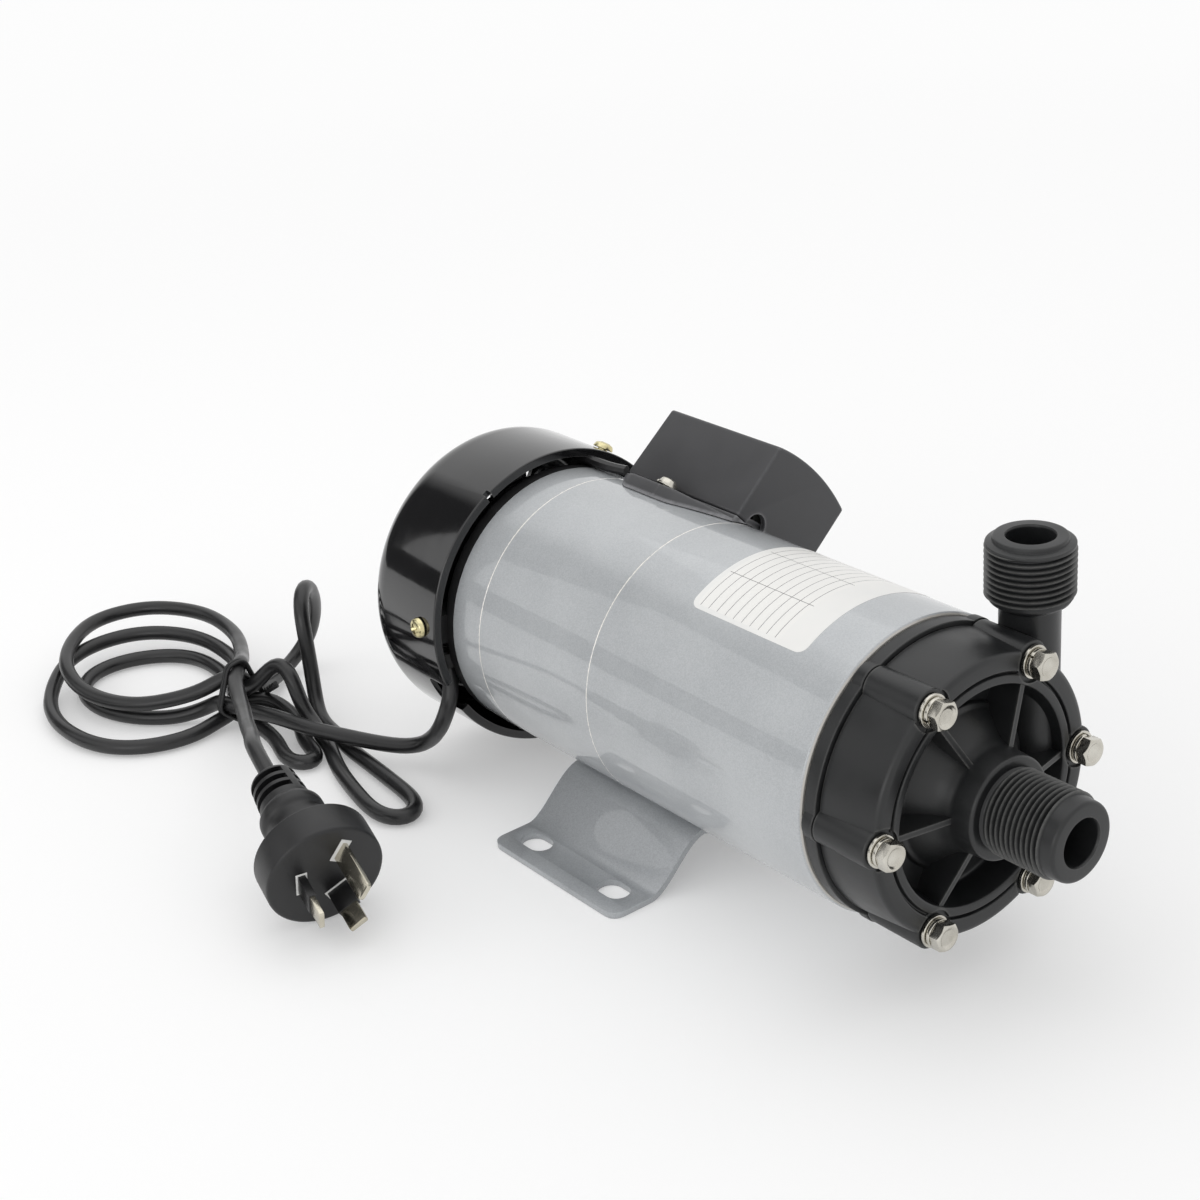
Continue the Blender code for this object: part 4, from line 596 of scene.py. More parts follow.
ARCH = [
    (-189.0, -78.3, 15.0), (-183.7, -72.4, 15.4), (-182.4, -68.6, 20.1), (-179.6, -65.4, 24.4),
    (-173.5, -64.3, 26.0), (-168.5, -64.6, 22.8), (-166.3, -64.6, 16.6), (-164.1, -64.2, 10.7),
    (-161.5, -63.5, 6.0), (-154.6, -64.3, 3.5), (-143.9, -66.8, 3.0),
]
FRONT_LOOP = [
    (-126.0, -73.0, 3.0), (-112.0, -76.4, 3.0), (-98.0, -79.0, 3.0), (-88.6, -79.0, 3.0),
    (-82.6, -74.6, 3.0), (-84.4, -68.4, 3.0), (-93.0, -65.2, 3.0), (-110.5, -63.4, 3.0),
    (-128.3, -62.0, 3.0), (-142.1, -61.3, 3.0), (-155.6, -59.5, 3.0),
]
STANDING_LOOP = [
    (-165.7, -57.2, 5.0), (-172.5, -54.0, 11.7), (-174.9, -53.0, 22.9), (-175.9, -53.0, 34.9),
    (-179.2, -51.5, 43.0), (-184.3, -47.0, 46.8), (-191.7, -40.0, 42.9), (-200.7, -34.0, 31.4),
    (-209.3, -31.5, 18.3), (-213.4, -34.0, 9.2), (-211.7, -42.0, 4.9), (-205.5, -52.0, 4.7),
    (-196.4, -63.0, 8.2), (-190.3, -72.4, 14.2),
]
TOP_LOOP = [
    (-196.0, -78.0, 15.5), (-203.0, -90.0, 12.0), (-216.0, -106.0, 9.5), (-237.0, -114.8, 10.0),
    (-258.5, -112.8, 13.0), (-277.5, -99.5, 14.0), (-287.0, -83.6, 14.0), (-281.0, -64.0, 14.0),
    (-259.7, -52.0, 14.0), (-234.4, -52.5, 14.0), (-211.0, -62.0, 16.5), (-197.0, -70.0, 20.0),
]
PLUG_RUN = [
    (-190.0, -75.8, 21.2), (-178.3, -82.4, 21.5), (-162.0, -89.0, 21.5), (-140.0, -99.0, 26.5),
    (-124.0, -106.0, 31.5), (-109.0, -112.8, 35.0), (-91.2, -117.0, 31.0),
]


# %% Laying the cord
def smooth_line(points, step):
    """Evenly spaced places on a smooth curve through the points."""
    points = [np.array(p, float) for p in points]
    padded = [2 * points[0] - points[1], *points, 2 * points[-1] - points[-2]]
    fine = []
    for a, b, c, d in zip(padded, padded[1:], padded[2:], padded[3:]):
        for k in range(24):
            t = k / 24
            bend = (2 * a - 5 * b + 4 * c - d) * t**2 + (3 * b - a - 3 * c + d) * t**3
            fine.append(0.5 * (2 * b + (c - a) * t + bend))
    fine = np.array([*fine, points[-1]])
    walked = np.r_[0, np.cumsum(np.linalg.norm(np.diff(fine, axis=0), axis=1))]
    stops = np.linspace(0, walked[-1], int(round(walked[-1] / step)) + 1)
    return np.stack([np.interp(stops, walked, fine[:, i]) for i in range(3)], axis=1)


def bends(line):
    """How far each point is from the middle of its two neighbours."""
    off = np.zeros_like(line)
    off[1:-1] = (line[2:] + line[:-2]) / 2 - line[1:-1]
    return off


def settle(line, held, rounds=320):
    """Evens out the bends, and keeps the strands a diameter apart and above the floor."""
    line = line.copy()
    wanted = line.copy()
    order = np.arange(len(line))
    apart = np.abs(order[:, None] - order[None]) > 6
    free = (~held)[:, None]
    for _ in range(rounds):
        line += (0.05 * bends(line) - 0.4 * bends(bends(line)) + 0.02 * (wanted - line)) * free
        way = line[:, None] - line[None]
        gap = np.linalg.norm(way, axis=2) + 1e-9
        near = (gap < CORD + 0.3) & apart
        push = np.where(near, (CORD + 0.3 - gap) / 2, 0)
        moves = (way / gap[..., None] * push[..., None]).sum(1)
        line += 1.5 * moves / np.maximum(near.sum(1), 1)[:, None] * free
        line[:, 2] = np.maximum(line[:, 2], CORD / 2 + 0.05)
    return line


stretches = LEAD + INTO_TIE + LONG_LOOP + SMALL_LOOP + NEAR_LOOP + ARCH
stretches += FRONT_LOOP + STANDING_LOOP + TOP_LOOP + PLUG_RUN
laid = smooth_line(stretches, 2.6)
from_plug = len(laid) - 1 - np.argmin(np.linalg.norm(laid[::-1][:60] - PLUG_RUN[3], axis=1))
to_floor = np.argmin(np.linalg.norm(laid[:80] - LEAD[-2], axis=1))
held = np.zeros(len(laid), bool)
held[: to_floor + 1] = True
held[from_plug:] = True
laid = settle(laid, held)


# %% The cord as a curve
def round_cord(name, places, radius, finish, cyclic=False, sides=5):
    """A round cord along places, with closed ends."""
    curve = bpy.data.curves.new(name, "CURVE")
    curve.dimensions = "3D"
    curve.bevel_depth = radius * MM
    curve.bevel_resolution = sides
    curve.use_fill_caps = True
    spline = curve.splines.new("POLY")
    spline.points.add(len(places) - 1)
    for slot, place in zip(spline.points, places):
        slot.co = (*place, 1.0)
    spline.use_cyclic_u = cyclic
    curve.materials.append(finish)
    made = bpy.data.objects.new(name, curve)
    bpy.context.scene.collection.objects.link(made)
    return made


mains_cord = round_cord("mains_cord", [on_floor(*p) for p in laid], CORD / 2, cord_pvc)
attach(mains_cord, "pump")
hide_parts("cord_lead", "cord_hank", "plug_lead")

# %% [markdown]
# ## The tie
#
# The hank is held by a thin coated wire that goes round all its strands, with its two
# ends twisted together. A wire that is pulled tight follows the outside of the bundle,
# so its loop is the outline of the strands at that place, a little further out.

# %% The tie
TIE_X = -188.5
TIE_WIRE = 0.75
near_tie = laid[np.abs(laid[:, 0] - TIE_X) < 1.8]
near_tie = near_tie[(near_tie[:, 1] < -69) & (near_tie[:, 1] > -84)]
loop = []
for i in range(48):
    angle = TAU * i / 48
    out = np.array([math.cos(angle), math.sin(angle)])
    furthest = near_tie[np.argmax(near_tie[:, 1:] @ out), 1:]
    reach = furthest + out * (CORD / 2 + TIE_WIRE + 0.1)
    loop.append((reach[0], max(reach[1], TIE_WIRE)))
strands = []
for offset in (-0.8, 0.8):
    strand = [on_floor(TIE_X + offset, y, z) for y, z in loop]
    strands.append(round_cord(f"tie_loop_{len(strands) + 1}", strand, TIE_WIRE, tie_wire, cyclic=True, sides=3))
far_side = max(loop, key=lambda p: p[0])
for k in range(2):
    tail = []
    for i in range(22):
        turn = TAU * i / 9 + math.pi * k
        x = TIE_X + 1 + i * 0.55
        lean = far_side[0] + 0.6 - i * 0.05
        tail.append(on_floor(x, lean + 0.8 * math.cos(turn), far_side[1] + 2 + 0.35 * i + 0.8 * math.sin(turn)))
    strands.append(round_cord(f"tie_tail_{k + 1}", tail, TIE_WIRE, tie_wire, sides=3))
for strand in strands:
    only(strand)
    bpy.ops.object.convert(target="MESH")
cord_tie = together([bpy.data.objects[n] for n in ("tie_loop_1", "tie_loop_2", "tie_tail_1", "tie_tail_2")])
cord_tie.name = "hank_tie"
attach(cord_tie, "pump")
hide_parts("cord_tie")
print("tie spans", len(near_tie), "points of the cord")


# %% Handing a piece over
def finished(made, finish, node=None, body="pump", angle=30):
    """Smooths, paints and hands over a piece that was modelled in its place."""
    only(made)
    made.data.materials.clear()
    made.data.materials.append(finish)
    bpy.ops.object.shade_smooth_by_angle(angle=math.radians(angle))
    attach(made, body)
    if node:
        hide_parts(*([node] if isinstance(node, str) else node))
    print(made.name, len(made.data.polygons), "faces")
    return made


# %% [markdown]
# ## The plug
#
# The plug is one moulding: a thick round disc with the pins, a waisted shoulder that
# fingers can hold, and a neck with slots across it that lets the cord bend gently. It is
# turned about its own axis first, with its face at the origin and its pins along X, and
# then set down where it lies, leaning on the rim of its disc.

# %% Where the plug lies
PLUG_PLACE = on_floor(-47.1, -125.9, 18.9)
pins_point = Vector((0.947, -0.190, -0.259)).normalized()
across = Vector((-0.044, -0.876, 0.481))
across = (across - pins_point * across.dot(pins_point)).normalized()
plug_turn = Matrix((pins_point, across, pins_point.cross(across))).transposed().to_4x4()
plug_place = Matrix.Translation(PLUG_PLACE) @ plug_turn
ORIGIN = Vector((0, 0, 0))

# %% The plug's body
plug_outline = [
    (0.0, 0.0), (0.0, 19.2, 1.3), (-12.2, 19.2, 0.7), (-13.2, 16.0, 1.2), (-17.0, 11.6, 3.0),
    (-22.6, 9.9, 1.5), (-25.0, 9.8, 0.7), (-26.8, 10.9, 0.9), (-30.0, 10.8, 1.2), (-32.0, 8.8, 0.9),
    (-33.4, 8.8, 0.5), (-46.8, 7.6, 1.5), (-47.6, 3.1, 0.3), (-47.6, 0.0),
]
plug_body = turned("moulded_plug", plug_outline, 80, centre=ORIGIN)
slots = []
for i in range(3):
    start = -35.0 - i * 3.9
    for side in (-1, 1):
        corners = [(start, 4.4), (start, 14.0), (start - 2.4, 14.0), (start - 2.4, 4.4)]
        ring = turned(f"relief_{i}_{side}", corners, 40, ring=True, centre=ORIGIN)
        low = -20.0 if side < 0 else 1.5
        keep = extruded(
            f"keep_{i}_{side}",
            [Vector((start + 2, low, -20)) * MM, Vector((start - 5, low, -20)) * MM,
             Vector((start - 5, low, 20)) * MM, Vector((start + 2, low, 20)) * MM],
            Vector((0, 18.5, 0)) * MM,
        )
        slots.append(solid(ring, [keep], "INTERSECT"))
solid(plug_body, slots, "DIFFERENCE")

# %% [markdown]
# Each pin is a flat blade with a rounded tip. The two that carry current have a black
# sleeve round their root, and each pin comes out of a white insert that sits in
# a shallow pocket of the face.

# %% Pins, sleeves and inserts
def blade(name, start, end, width, thick, tip=0.0):
    """A flat bar along X with rounded edges, and a rounded tip if one is asked for."""
    half = width / 2
    line = [(start, -half), (end, -half, tip), (end, half, tip), (start, half)]
    places = [Vector((p[0], p[1], -thick / 2)) * MM for p in soften(line, closed=True, steps=5)]
    made = extruded(name, places, Vector((0, 0, thick)) * MM)
    return round_edges(made, 0.22, 2, 60)


PIN_WIDTH = 6.35
PIN_THICKNESS = 1.6
pins = [
    ("earth", (0.0, -10.3), 90, 19.9, 1.6),
    ("line", (6.86, 3.96), 120, 17.1, 0.7),
    ("neutral", (-6.86, 3.96), 60, 17.1, 0.7),
]
plug_pieces = []
pockets = []
for name, (y, z), degrees, length, tip in pins:
    place = Matrix.Translation(Vector((0, y, z)) * MM) @ Matrix.Rotation(math.radians(degrees), 4, "X")
    pin = blade(f"{name}_blade", -3.0, length, PIN_WIDTH, PIN_THICKNESS, tip)
    pin.data.transform(plug_place @ place)
    plug_pieces.append((pin, pin_nickel, f"plug_pin_{name}", "pin_nickel"))
    insert = blade(f"{name}_insert", -1.2, 0.12, 8.6, 3.8)
    if name != "earth":
        sleeve = blade(f"{name}_sleeve", -1.0, 9.2, PIN_WIDTH + 0.9, PIN_THICKNESS + 0.9)
        sleeve.data.transform(plug_place @ place)
        plug_pieces.append((sleeve, sleeve_pvc, None, "plug_pvc"))
    pocket = block(f"{name}_pocket", (-1.3, -4.36, -1.96), (2.0, 4.36, 1.96))
    pocket.data.transform(Matrix.Translation(-AXIS))
    pocket.data.transform(place)
    pockets.append(pocket)
    insert.data.transform(plug_place @ place)
    plug_pieces.append((insert, insert_white, None, "plug_pvc"))
solid(plug_body, pockets, "DIFFERENCE")
plug_body.data.transform(plug_place)
finished(plug_body, plug_pvc, "plug_body", angle=38)
for made, finish, node, slot in plug_pieces:
    finished(made, finish, node, angle=40)

# %% [markdown]
# ## The motor's tube
#
# The tube is a length of seamed steel tube, faced at both ends. It is spun from a ring
# section, with two fine grooves turned into it and a small bevel at the front, where
# the bare metal shows against the black flange.

# %% The motor's tube
TUBE = 46.4
TUBE_REAR = -85.0
TUBE_FRONT = 83.0
tube_outline = [(TUBE_REAR, TUBE - 2.0), (TUBE_REAR, TUBE, 0.3)]
for groove in (-69.96, -12.99):
    tube_outline += [(groove - 0.22, TUBE), (groove, TUBE - 0.14), (groove + 0.22, TUBE)]
tube_outline += [(TUBE_FRONT - 0.8, TUBE, 0.2), (TUBE_FRONT, TUBE - 0.8), (TUBE_FRONT, TUBE - 2.0)]
tube_shell = turned("tube_shell", tube_outline, 160, ring=True)
finished(tube_shell, tube_paint, "motor_tube", angle=20)

# %% [markdown]
# ## The ratings label
#
# The label is a white vinyl sheet that wraps the tube, with rounded corners. The place
# is left bare of words and holds only the ruled lines of an empty table. It is
# a flat grid that is wrapped round the tube point by point, and its own flat map stays
# with it, so the ruled lines follow the curve.

# %% The ratings label
LABEL_START, LABEL_END = 15.4, 64.0
LABEL_LOW, LABEL_HIGH = 54.0, 124.0
LABEL_CORNER = 3.2


def label_vinyl():
    made, tree, shader, place = start_material("white_label_vinyl", 0.35, IOR=1.46)
    flat = put(tree, "ShaderNodeTexCoord").outputs["UV"]
    wide = (LABEL_HIGH - LABEL_LOW) / 360 * TAU * TUBE
    tall = LABEL_END - LABEL_START
    size = put(tree, "ShaderNodeVectorMath", {"operation": "MULTIPLY"}, n0=flat, n1=(wide, tall, 0)).outputs[0]
    table = put(
        tree, "ShaderNodeTexBrick", {"offset": 0.0, "squash": 1.0}, Vector=size,
        Color1=linear("#ecebe8"), Color2=linear("#ecebe8"), Mortar=linear("#4a4a4c"),
        Scale=1.0, Mortar_Size=0.10, Mortar_Smooth=0.1, Brick_Width=16.4, Row_Height=3.6,
    ).outputs["Color"]
    parts = put(tree, "ShaderNodeSeparateXYZ", Vector=size)
    inside = None
    for axis, low, high in ((0, 1.5, wide - 1.6), (1, 2.0, 38.0)):
        above = put(tree, "ShaderNodeMath", {"operation": "GREATER_THAN"}, n0=parts.outputs[axis], n1=low)
        below = put(tree, "ShaderNodeMath", {"operation": "LESS_THAN"}, n0=parts.outputs[axis], n1=high)
        for test in (above, below):
            if inside is None:
                inside = test.outputs[0]
            else:
                inside = put(tree, "ShaderNodeMath", {"operation": "MULTIPLY"}, n0=inside, n1=test.outputs[0]).outputs[0]
    soft = span(tree, noise(tree, place, 18.0, 3.0), 0.3, 0.7, 0.0, 1.0)
    paper = mix(tree, soft, "#ecebe8", "#e6e6e4")
    tree.links.new(mix(tree, inside, paper, table), shader.inputs["Base Color"])
    bump(tree, shader, noise(tree, place, 1.5, 3.0), 0.01)
    return made


def wrapped_label():
    """A grid with rounded corners, laid round the tube, with a sheet's thickness."""
    bpy.ops.object.select_all(action="DESELECT")
    bpy.ops.mesh.primitive_grid_add(x_subdivisions=60, y_subdivisions=44, size=1.0, calc_uvs=True)
    made = bpy.context.object
    made.name = made.data.name = "ratings_label"
    wide = (LABEL_HIGH - LABEL_LOW) / 360 * TAU * TUBE
    tall = LABEL_END - LABEL_START
    corner = Vector((wide / 2 - LABEL_CORNER, tall / 2 - LABEL_CORNER))
    for vert in made.data.vertices:
        flat = Vector((vert.co.x * wide, vert.co.y * tall))
        over = Vector((abs(flat.x) - corner.x, abs(flat.y) - corner.y))
        if over.x > 0 and over.y > 0:
            square = over / max(over.x, over.y)
            scale = 1 / max(square.length, 1.0)
            flat.x = math.copysign(corner.x + over.x * scale, flat.x)
            flat.y = math.copysign(corner.y + over.y * scale, flat.y)
        middle = (LABEL_LOW + LABEL_HIGH) / 2
        degrees = middle - math.degrees(flat.x / TUBE)
        y, z = polar(TUBE + 0.06, degrees)
        vert.co = at((LABEL_START + LABEL_END) / 2 + flat.y, y, z)
    only(made)
    sheet = made.modifiers.new("thickness", "SOLIDIFY")
    sheet.thickness = 0.14 * MM
    sheet.offset = 1.0
    bpy.ops.object.modifier_apply(modifier=sheet.name)
    bpy.ops.object.mode_set(mode="EDIT")
    bpy.ops.mesh.select_all(action="SELECT")
    bpy.ops.mesh.normals_make_consistent(inside=False)
    return only(made)


finished(wrapped_label(), label_vinyl(), angle=40)

# %% [markdown]
# ## The fan cover
#
# A deep pressing: a cup with a well-rounded back, air slots in the back, a lip turned
# in at the rim, and a notch where the cord leaves. Slots and notch are punched, so they
# are cut with rounded cutters.

# %% The fan cover
COVER = 52.45
COVER_BACK = -127.8
COVER_FRONT = -87.5
COVER_WALL = 1.7
cover_outline = [
    (COVER_FRONT, COVER - 2.9, 0.25), (COVER_FRONT, COVER, 0.6), (COVER_BACK, COVER, 10.2),
    (COVER_BACK, 0.0),
]
cover_inside = [
    (COVER_BACK + COVER_WALL, 0.0), (COVER_BACK + COVER_WALL, COVER - COVER_WALL, 8.5),
    (COVER_FRONT - 2.4, COVER - COVER_WALL, 0.4), (COVER_FRONT - 1.5, COVER - 2.9, 0.3), (COVER_FRONT, COVER - 2.9),
]
fan_cup = turned("fan_cup", cover_outline + cover_inside, 144, arcs=10)
vents = []
for i in range(12):
    outline = arc(2.3, -90, 90, 9, (0, 0))
    ring = [(y, z + 37.0) for y, z in arc(2.3, 0, 180, 9)] + [(y, z + 24.6) for y, z in arc(2.3, 180, 360, 9)]
    places = [at(COVER_BACK - 2, y, z) for y, z in ring]
    vent = extruded("vent", places, Vector((6, 0, 0)) * MM)
    vent.data.transform(turn_to(90 + 30 * i))
    vents.append(vent)
solid(fan_cup, vents, "DIFFERENCE")
notch_line = [(-98.5, -6.0, 2.6), (-98.5, 6.0, 2.6), (-84.0, 6.0), (-84.0, -6.0)]
notch_places = [at(x, y, 44.0) for x, y in soften(notch_line, closed=True, steps=6)]
cord_notch = extruded("cord_notch", notch_places, Vector((0, 0, 14)) * MM)
cord_notch.data.transform(turn_to(205.5))
small_notch = block("small_notch", (-89.4, -1.1, 46.0), (-84.0, 1.1, 56.0))
small_notch.data.transform(turn_to(119.0))
holes = []
SCREW_X = -95.6
SCREW_ANGLES = (175.9, 55.9, 295.9)
for degrees in SCREW_ANGLES:
    hole = bar("screw_hole", 2.1, 46.0, 56.0, centre=at(SCREW_X, 0, 0), standing=True, steps=24)
    hole.data.transform(turn_to(degrees))
    holes.append(hole)
solid(fan_cup, [cord_notch, small_notch, *holes], "DIFFERENCE")
finished(fan_cup, cover_enamel, "fan_cover", angle=38)

# %% [markdown]
# ## Screws with a cross recess
#
# The cover's three screws and the box's two are pan heads. A head is turned, and its
# recess is two thin wedges that cross. One screw is modelled and copied.

# %% Pan-head screws
def pan_screw(name, head, height, shank, length, washer=0.0):
    """A pan-head screw standing on the origin, its shank pointing down."""
    top = height
    corners = [(top, 0.0), (top * 0.97, head * 0.42), (top * 0.72, head * 0.86, 0.5), (top * 0.12, head, 0.25)]
    if washer:
        corners += [(0.1, head, 0.1), (0.1, washer, 0.15), (-0.75, washer, 0.15), (-0.75, shank)]
    else:
        corners += [(0.0, head * 0.97), (0.0, shank)]
    corners += [(-length, shank, 0.3), (-length, 0.0)]
    screw = turned(name, corners, 48, centre=ORIGIN, standing=True)
    wedges = []
    for degrees in (20, 110):
        side = [(head * 0.60, top + 0.2), (-head * 0.60, top + 0.2), (-head * 0.22, top - 1.5), (head * 0.22, top - 1.5)]
        places = [Vector((x, -0.42, z)) * MM for x, z in side]
        wedge = extruded("wedge", places, Vector((0, 0.84, 0)) * MM)
        wedge.data.transform(Matrix.Rotation(math.radians(degrees), 4, "Z"))
        wedges.append(wedge)
    for wedge in wedges:
        solid(screw, [wedge], "DIFFERENCE")
    return screw


cover_screw = pan_screw("zinc_screw", 3.6, 2.4, 1.7, 7.5)
for i, degrees in enumerate(SCREW_ANGLES):
    up = turn_to(degrees) @ Matrix.Translation(at(SCREW_X, 0, COVER + 0.3))
    finished(copy_of(cover_screw, f"zinc_screw_{i + 1}", up), yellow_zinc, f"cover_screw_{i + 1}", angle=35)
bpy.data.objects.remove(cover_screw, do_unlink=True)

# %% [markdown]
# ## The earth wire
#
# A green wire and its screw show in the gap beside the cord. The wire comes from the
# same jacket and curls to the screw on the end plate.

# %% The earth wire
wire_route = [(-93.6, -44.0, 48.0), (-92.6, -41.5, 44.0), (-92.0, -38.2, 40.4), (-91.8, -34.5, 37.2), (-91.6, -30.6, 35.2)]
earth_wire = round_cord("earth_wire", [on_floor(*p) for p in smooth_line(wire_route, 1.0)], 1.1, wire_green, sides=3)
only(earth_wire)
bpy.ops.object.convert(target="MESH")
finished(bpy.context.object, wire_green, angle=40)

# %% [markdown]
# ## The foot
#
# The foot is one strip of plate, bent on a press: two flat flanges with slots, two
# S-shaped rises and a cradle that takes the tube. Its section is drawn once and pulled
# along the axis. The corners of the flanges are rounded, and so are all its edges.

# %% The foot
FOOT_HALF = 61.0
FOOT_REAR = -51.8
FOOT_LENGTH = 64.0
FOOT_PLATE = 2.1
FLAT_Y = 46.0
CREST_Y = 22.5


def foot_height(y):
    """The underside's height above the floor, at a distance from the middle."""
    side = abs(y)
    seat = TUBE + 0.3 + FOOT_PLATE
    if side <= CREST_Y:
        return AXIS_HEIGHT - math.sqrt(seat * seat - side * side)
    if side >= FLAT_Y:
        return 0.0
    crest = AXIS_HEIGHT - math.sqrt(seat * seat - CREST_Y * CREST_Y)
    share = (FLAT_Y - side) / (FLAT_Y - CREST_Y)
    return crest * share * share * (3 - 2 * share)


def bent_foot():
    count = 96
    lower = [Vector((y, foot_height(y))) for y in (FOOT_HALF * (2 * i / count - 1) for i in range(count + 1))]
    upper = []
    for i, point in enumerate(lower):
        along = (lower[min(i + 1, count)] - lower[max(i - 1, 0)]).normalized()
        upper.append(point + Vector((-along.y, along.x)) * FOOT_PLATE)
    places = [on_floor(FOOT_REAR, p.x, p.y) for p in lower + upper[::-1]]
    made = extruded("bent_foot", places, Vector((FOOT_LENGTH, 0, 0)) * MM)
    middle = FOOT_REAR + FOOT_LENGTH / 2
    corner = [(-FOOT_LENGTH / 2, -FOOT_HALF - 0.01, 5.0), (FOOT_LENGTH / 2, -FOOT_HALF - 0.01, 5.0)]
    corner += [(FOOT_LENGTH / 2, FOOT_HALF + 0.01, 5.0), (-FOOT_LENGTH / 2, FOOT_HALF + 0.01, 5.0)]
    rounded = [on_floor(middle + x, y, -1) for x, y in soften(corner, closed=True, steps=8)]
    solid(made, [extruded("blank", rounded, Vector((0, 0, 40)) * MM)], "INTERSECT")
    slots = []
    for along in (-1, 1):
        for side in (-1, 1):
            x = middle + along * 20.05
            ends = arc(4.2, -90, 90, 15, (1.8, 0)) + arc(4.2, 90, 270, 15, (-1.8, 0))
            places = [on_floor(x + a, side * 51.2 + b, -3) for a, b in ends]
            slots.append(extruded("slot", places, Vector((0, 0, 14)) * MM))
    solid(made, slots, "DIFFERENCE")
    return round_edges(made, 0.35, 2, 50)


finished(bent_foot(), foot_paint, "mounting_foot", angle=32)

# %% [markdown]
# ## The terminal box
#
# The lid and its base are moulded in charcoal plastic and sit on the tube's upper far
# side. Both are modelled straight above the axis, where their section is easy to draw,
# and turned down to their place at the end. The lid's crown follows the tube, and its
# front has a hole for a cable.

# %% The terminal box
BOX_ANGLE = 41.6
BOX_REAR, BOX_FRONT = -70.0, -14.4
BOX_HALF = 20.15
BOX_SEAT = 44.4
BOX_CROWN = 73.5
EAR_SEAT = BOX_SEAT - 1.5
EAR_SCREW = (-44.9, 24.4)


def box_section(half, crown, seat, count=25):
    end = math.degrees(math.asin(half / crown))
    return [(half, seat), *arc(crown, 90 - end, 90 + end, count), (-half, seat)]


def box_lid():
    seat = BOX_SEAT + 0.3
    places = [at(BOX_REAR, y, z) for y, z in box_section(BOX_HALF, BOX_CROWN, seat)]
    lid = extruded("box_lid", places, Vector((BOX_FRONT - BOX_REAR, 0, 0)) * MM)
    for vert in lid.data.vertices:
        height = vert.co.z - AXIS.z
        if vert.co.x < at(BOX_REAR, 0, 0).x + 1e-5 and height > (seat + 1) * MM:
            vert.co.x += 1.6 * MM
    round_edges(lid, 0.75, 3, 40)
    inner = [at(BOX_REAR + 3.6, y, z) for y, z in box_section(BOX_HALF - 2, BOX_CROWN - 2, seat - 3)]
    hollow = extruded("hollow", inner, Vector((BOX_FRONT - BOX_REAR - 5.6, 0, 0)) * MM)
    solid(lid, [hollow], "DIFFERENCE")
    solid(lid, [bar("saddle", TUBE + 0.3, BOX_REAR - 5, BOX_FRONT + 5, steps=160)], "DIFFERENCE")
    side = -10.5
    foot = math.sqrt(TUBE**2 - side**2)
    hole = [(side - 4.3, foot - 6), (side + 4.3, foot - 6), *arc(4.3, 0, 180, 17, (side, foot + 0.5))]
    places = [at(BOX_FRONT - 5, y, z) for y, z in hole]
    solid(lid, [extruded("cable_hole", places, Vector((8, 0, 0)) * MM)], "DIFFERENCE")
    lid.data.transform(turn_to(BOX_ANGLE))
    return lid


finished(box_lid(), box_plastic, "terminal_box", angle=32)


def box_base():
    """The saddle: a step under the lid, on a plate with an ear at each side."""
    taper = [(BOX_REAR, BOX_HALF, 0.6), (-60.0, 27.8, 2.4), (-38.0, 27.8, 2.4), (BOX_FRONT, BOX_HALF + 0.6, 0.6)]
    line = taper + [(x, -side, size) for x, side, size in reversed(taper)]
    low = TUBE * 0.70
    places = [at(x, y, low) for x, y in soften(line, closed=True, steps=5)]
    base = extruded("box_saddle", places, Vector((0, 0, EAR_SEAT - low)) * MM)
    round_edges(base, 0.45, 2, 40)
    step = block("step", (BOX_REAR + 0.05, -BOX_HALF, low + 2), (BOX_FRONT - 0.05, BOX_HALF, BOX_SEAT))
    solid(base, [round_edges(step, 0.3, 2, 40)], "UNION")
    inner = [at(BOX_REAR + 4.2, y, z) for y, z in box_section(BOX_HALF - 2.6, TUBE + 2.3, low + 1)]
    solid(base, [extruded("box_floor", inner, Vector((BOX_FRONT - BOX_REAR - 6.8, 0, 0)) * MM)], "UNION")
    tools = [bar("saddle", TUBE + 0.3, BOX_REAR - 5, BOX_FRONT + 5, steps=160)]
    solid(base, tools, "DIFFERENCE")
    ears = []
    for side in (1, -1):
        place = at(EAR_SCREW[0], side * EAR_SCREW[1], 0)
        ears.append(bar("ear_hole", 2.2, low - 2, EAR_SEAT + 4, centre=place, standing=True, steps=24))
    solid(base, ears, "DIFFERENCE")
    base.data.transform(turn_to(BOX_ANGLE))
    return base


finished(box_base(), box_plastic, "box_base", angle=32)
ear_screw = pan_screw("ear_screw", 3.4, 2.4, 1.9, 3.0, washer=3.9)
for i, side in enumerate((1, -1)):
    up = turn_to(BOX_ANGLE) @ Matrix.Translation(at(EAR_SCREW[0], side * EAR_SCREW[1], EAR_SEAT + 1.1))
    finished(copy_of(ear_screw, f"ear_screw_{i + 1}", up), stainless, f"box_screw_{i + 1}", angle=35)
bpy.data.objects.remove(ear_screw, do_unlink=True)

# %% [markdown]
# ## The pipe threads
#
# Both ports end in a pipe thread, fourteen turns to the inch. A real thread is one ridge
# that winds round, so its section is drawn once and a Screw modifier winds it. Its ends
# fade out over a quarter of a turn, as a die leaves them.

# %% The pipe threads
PITCH = 1.814
THREAD = 13.1
THREAD_DEPTH = 1.16
WIND_STEPS = 56


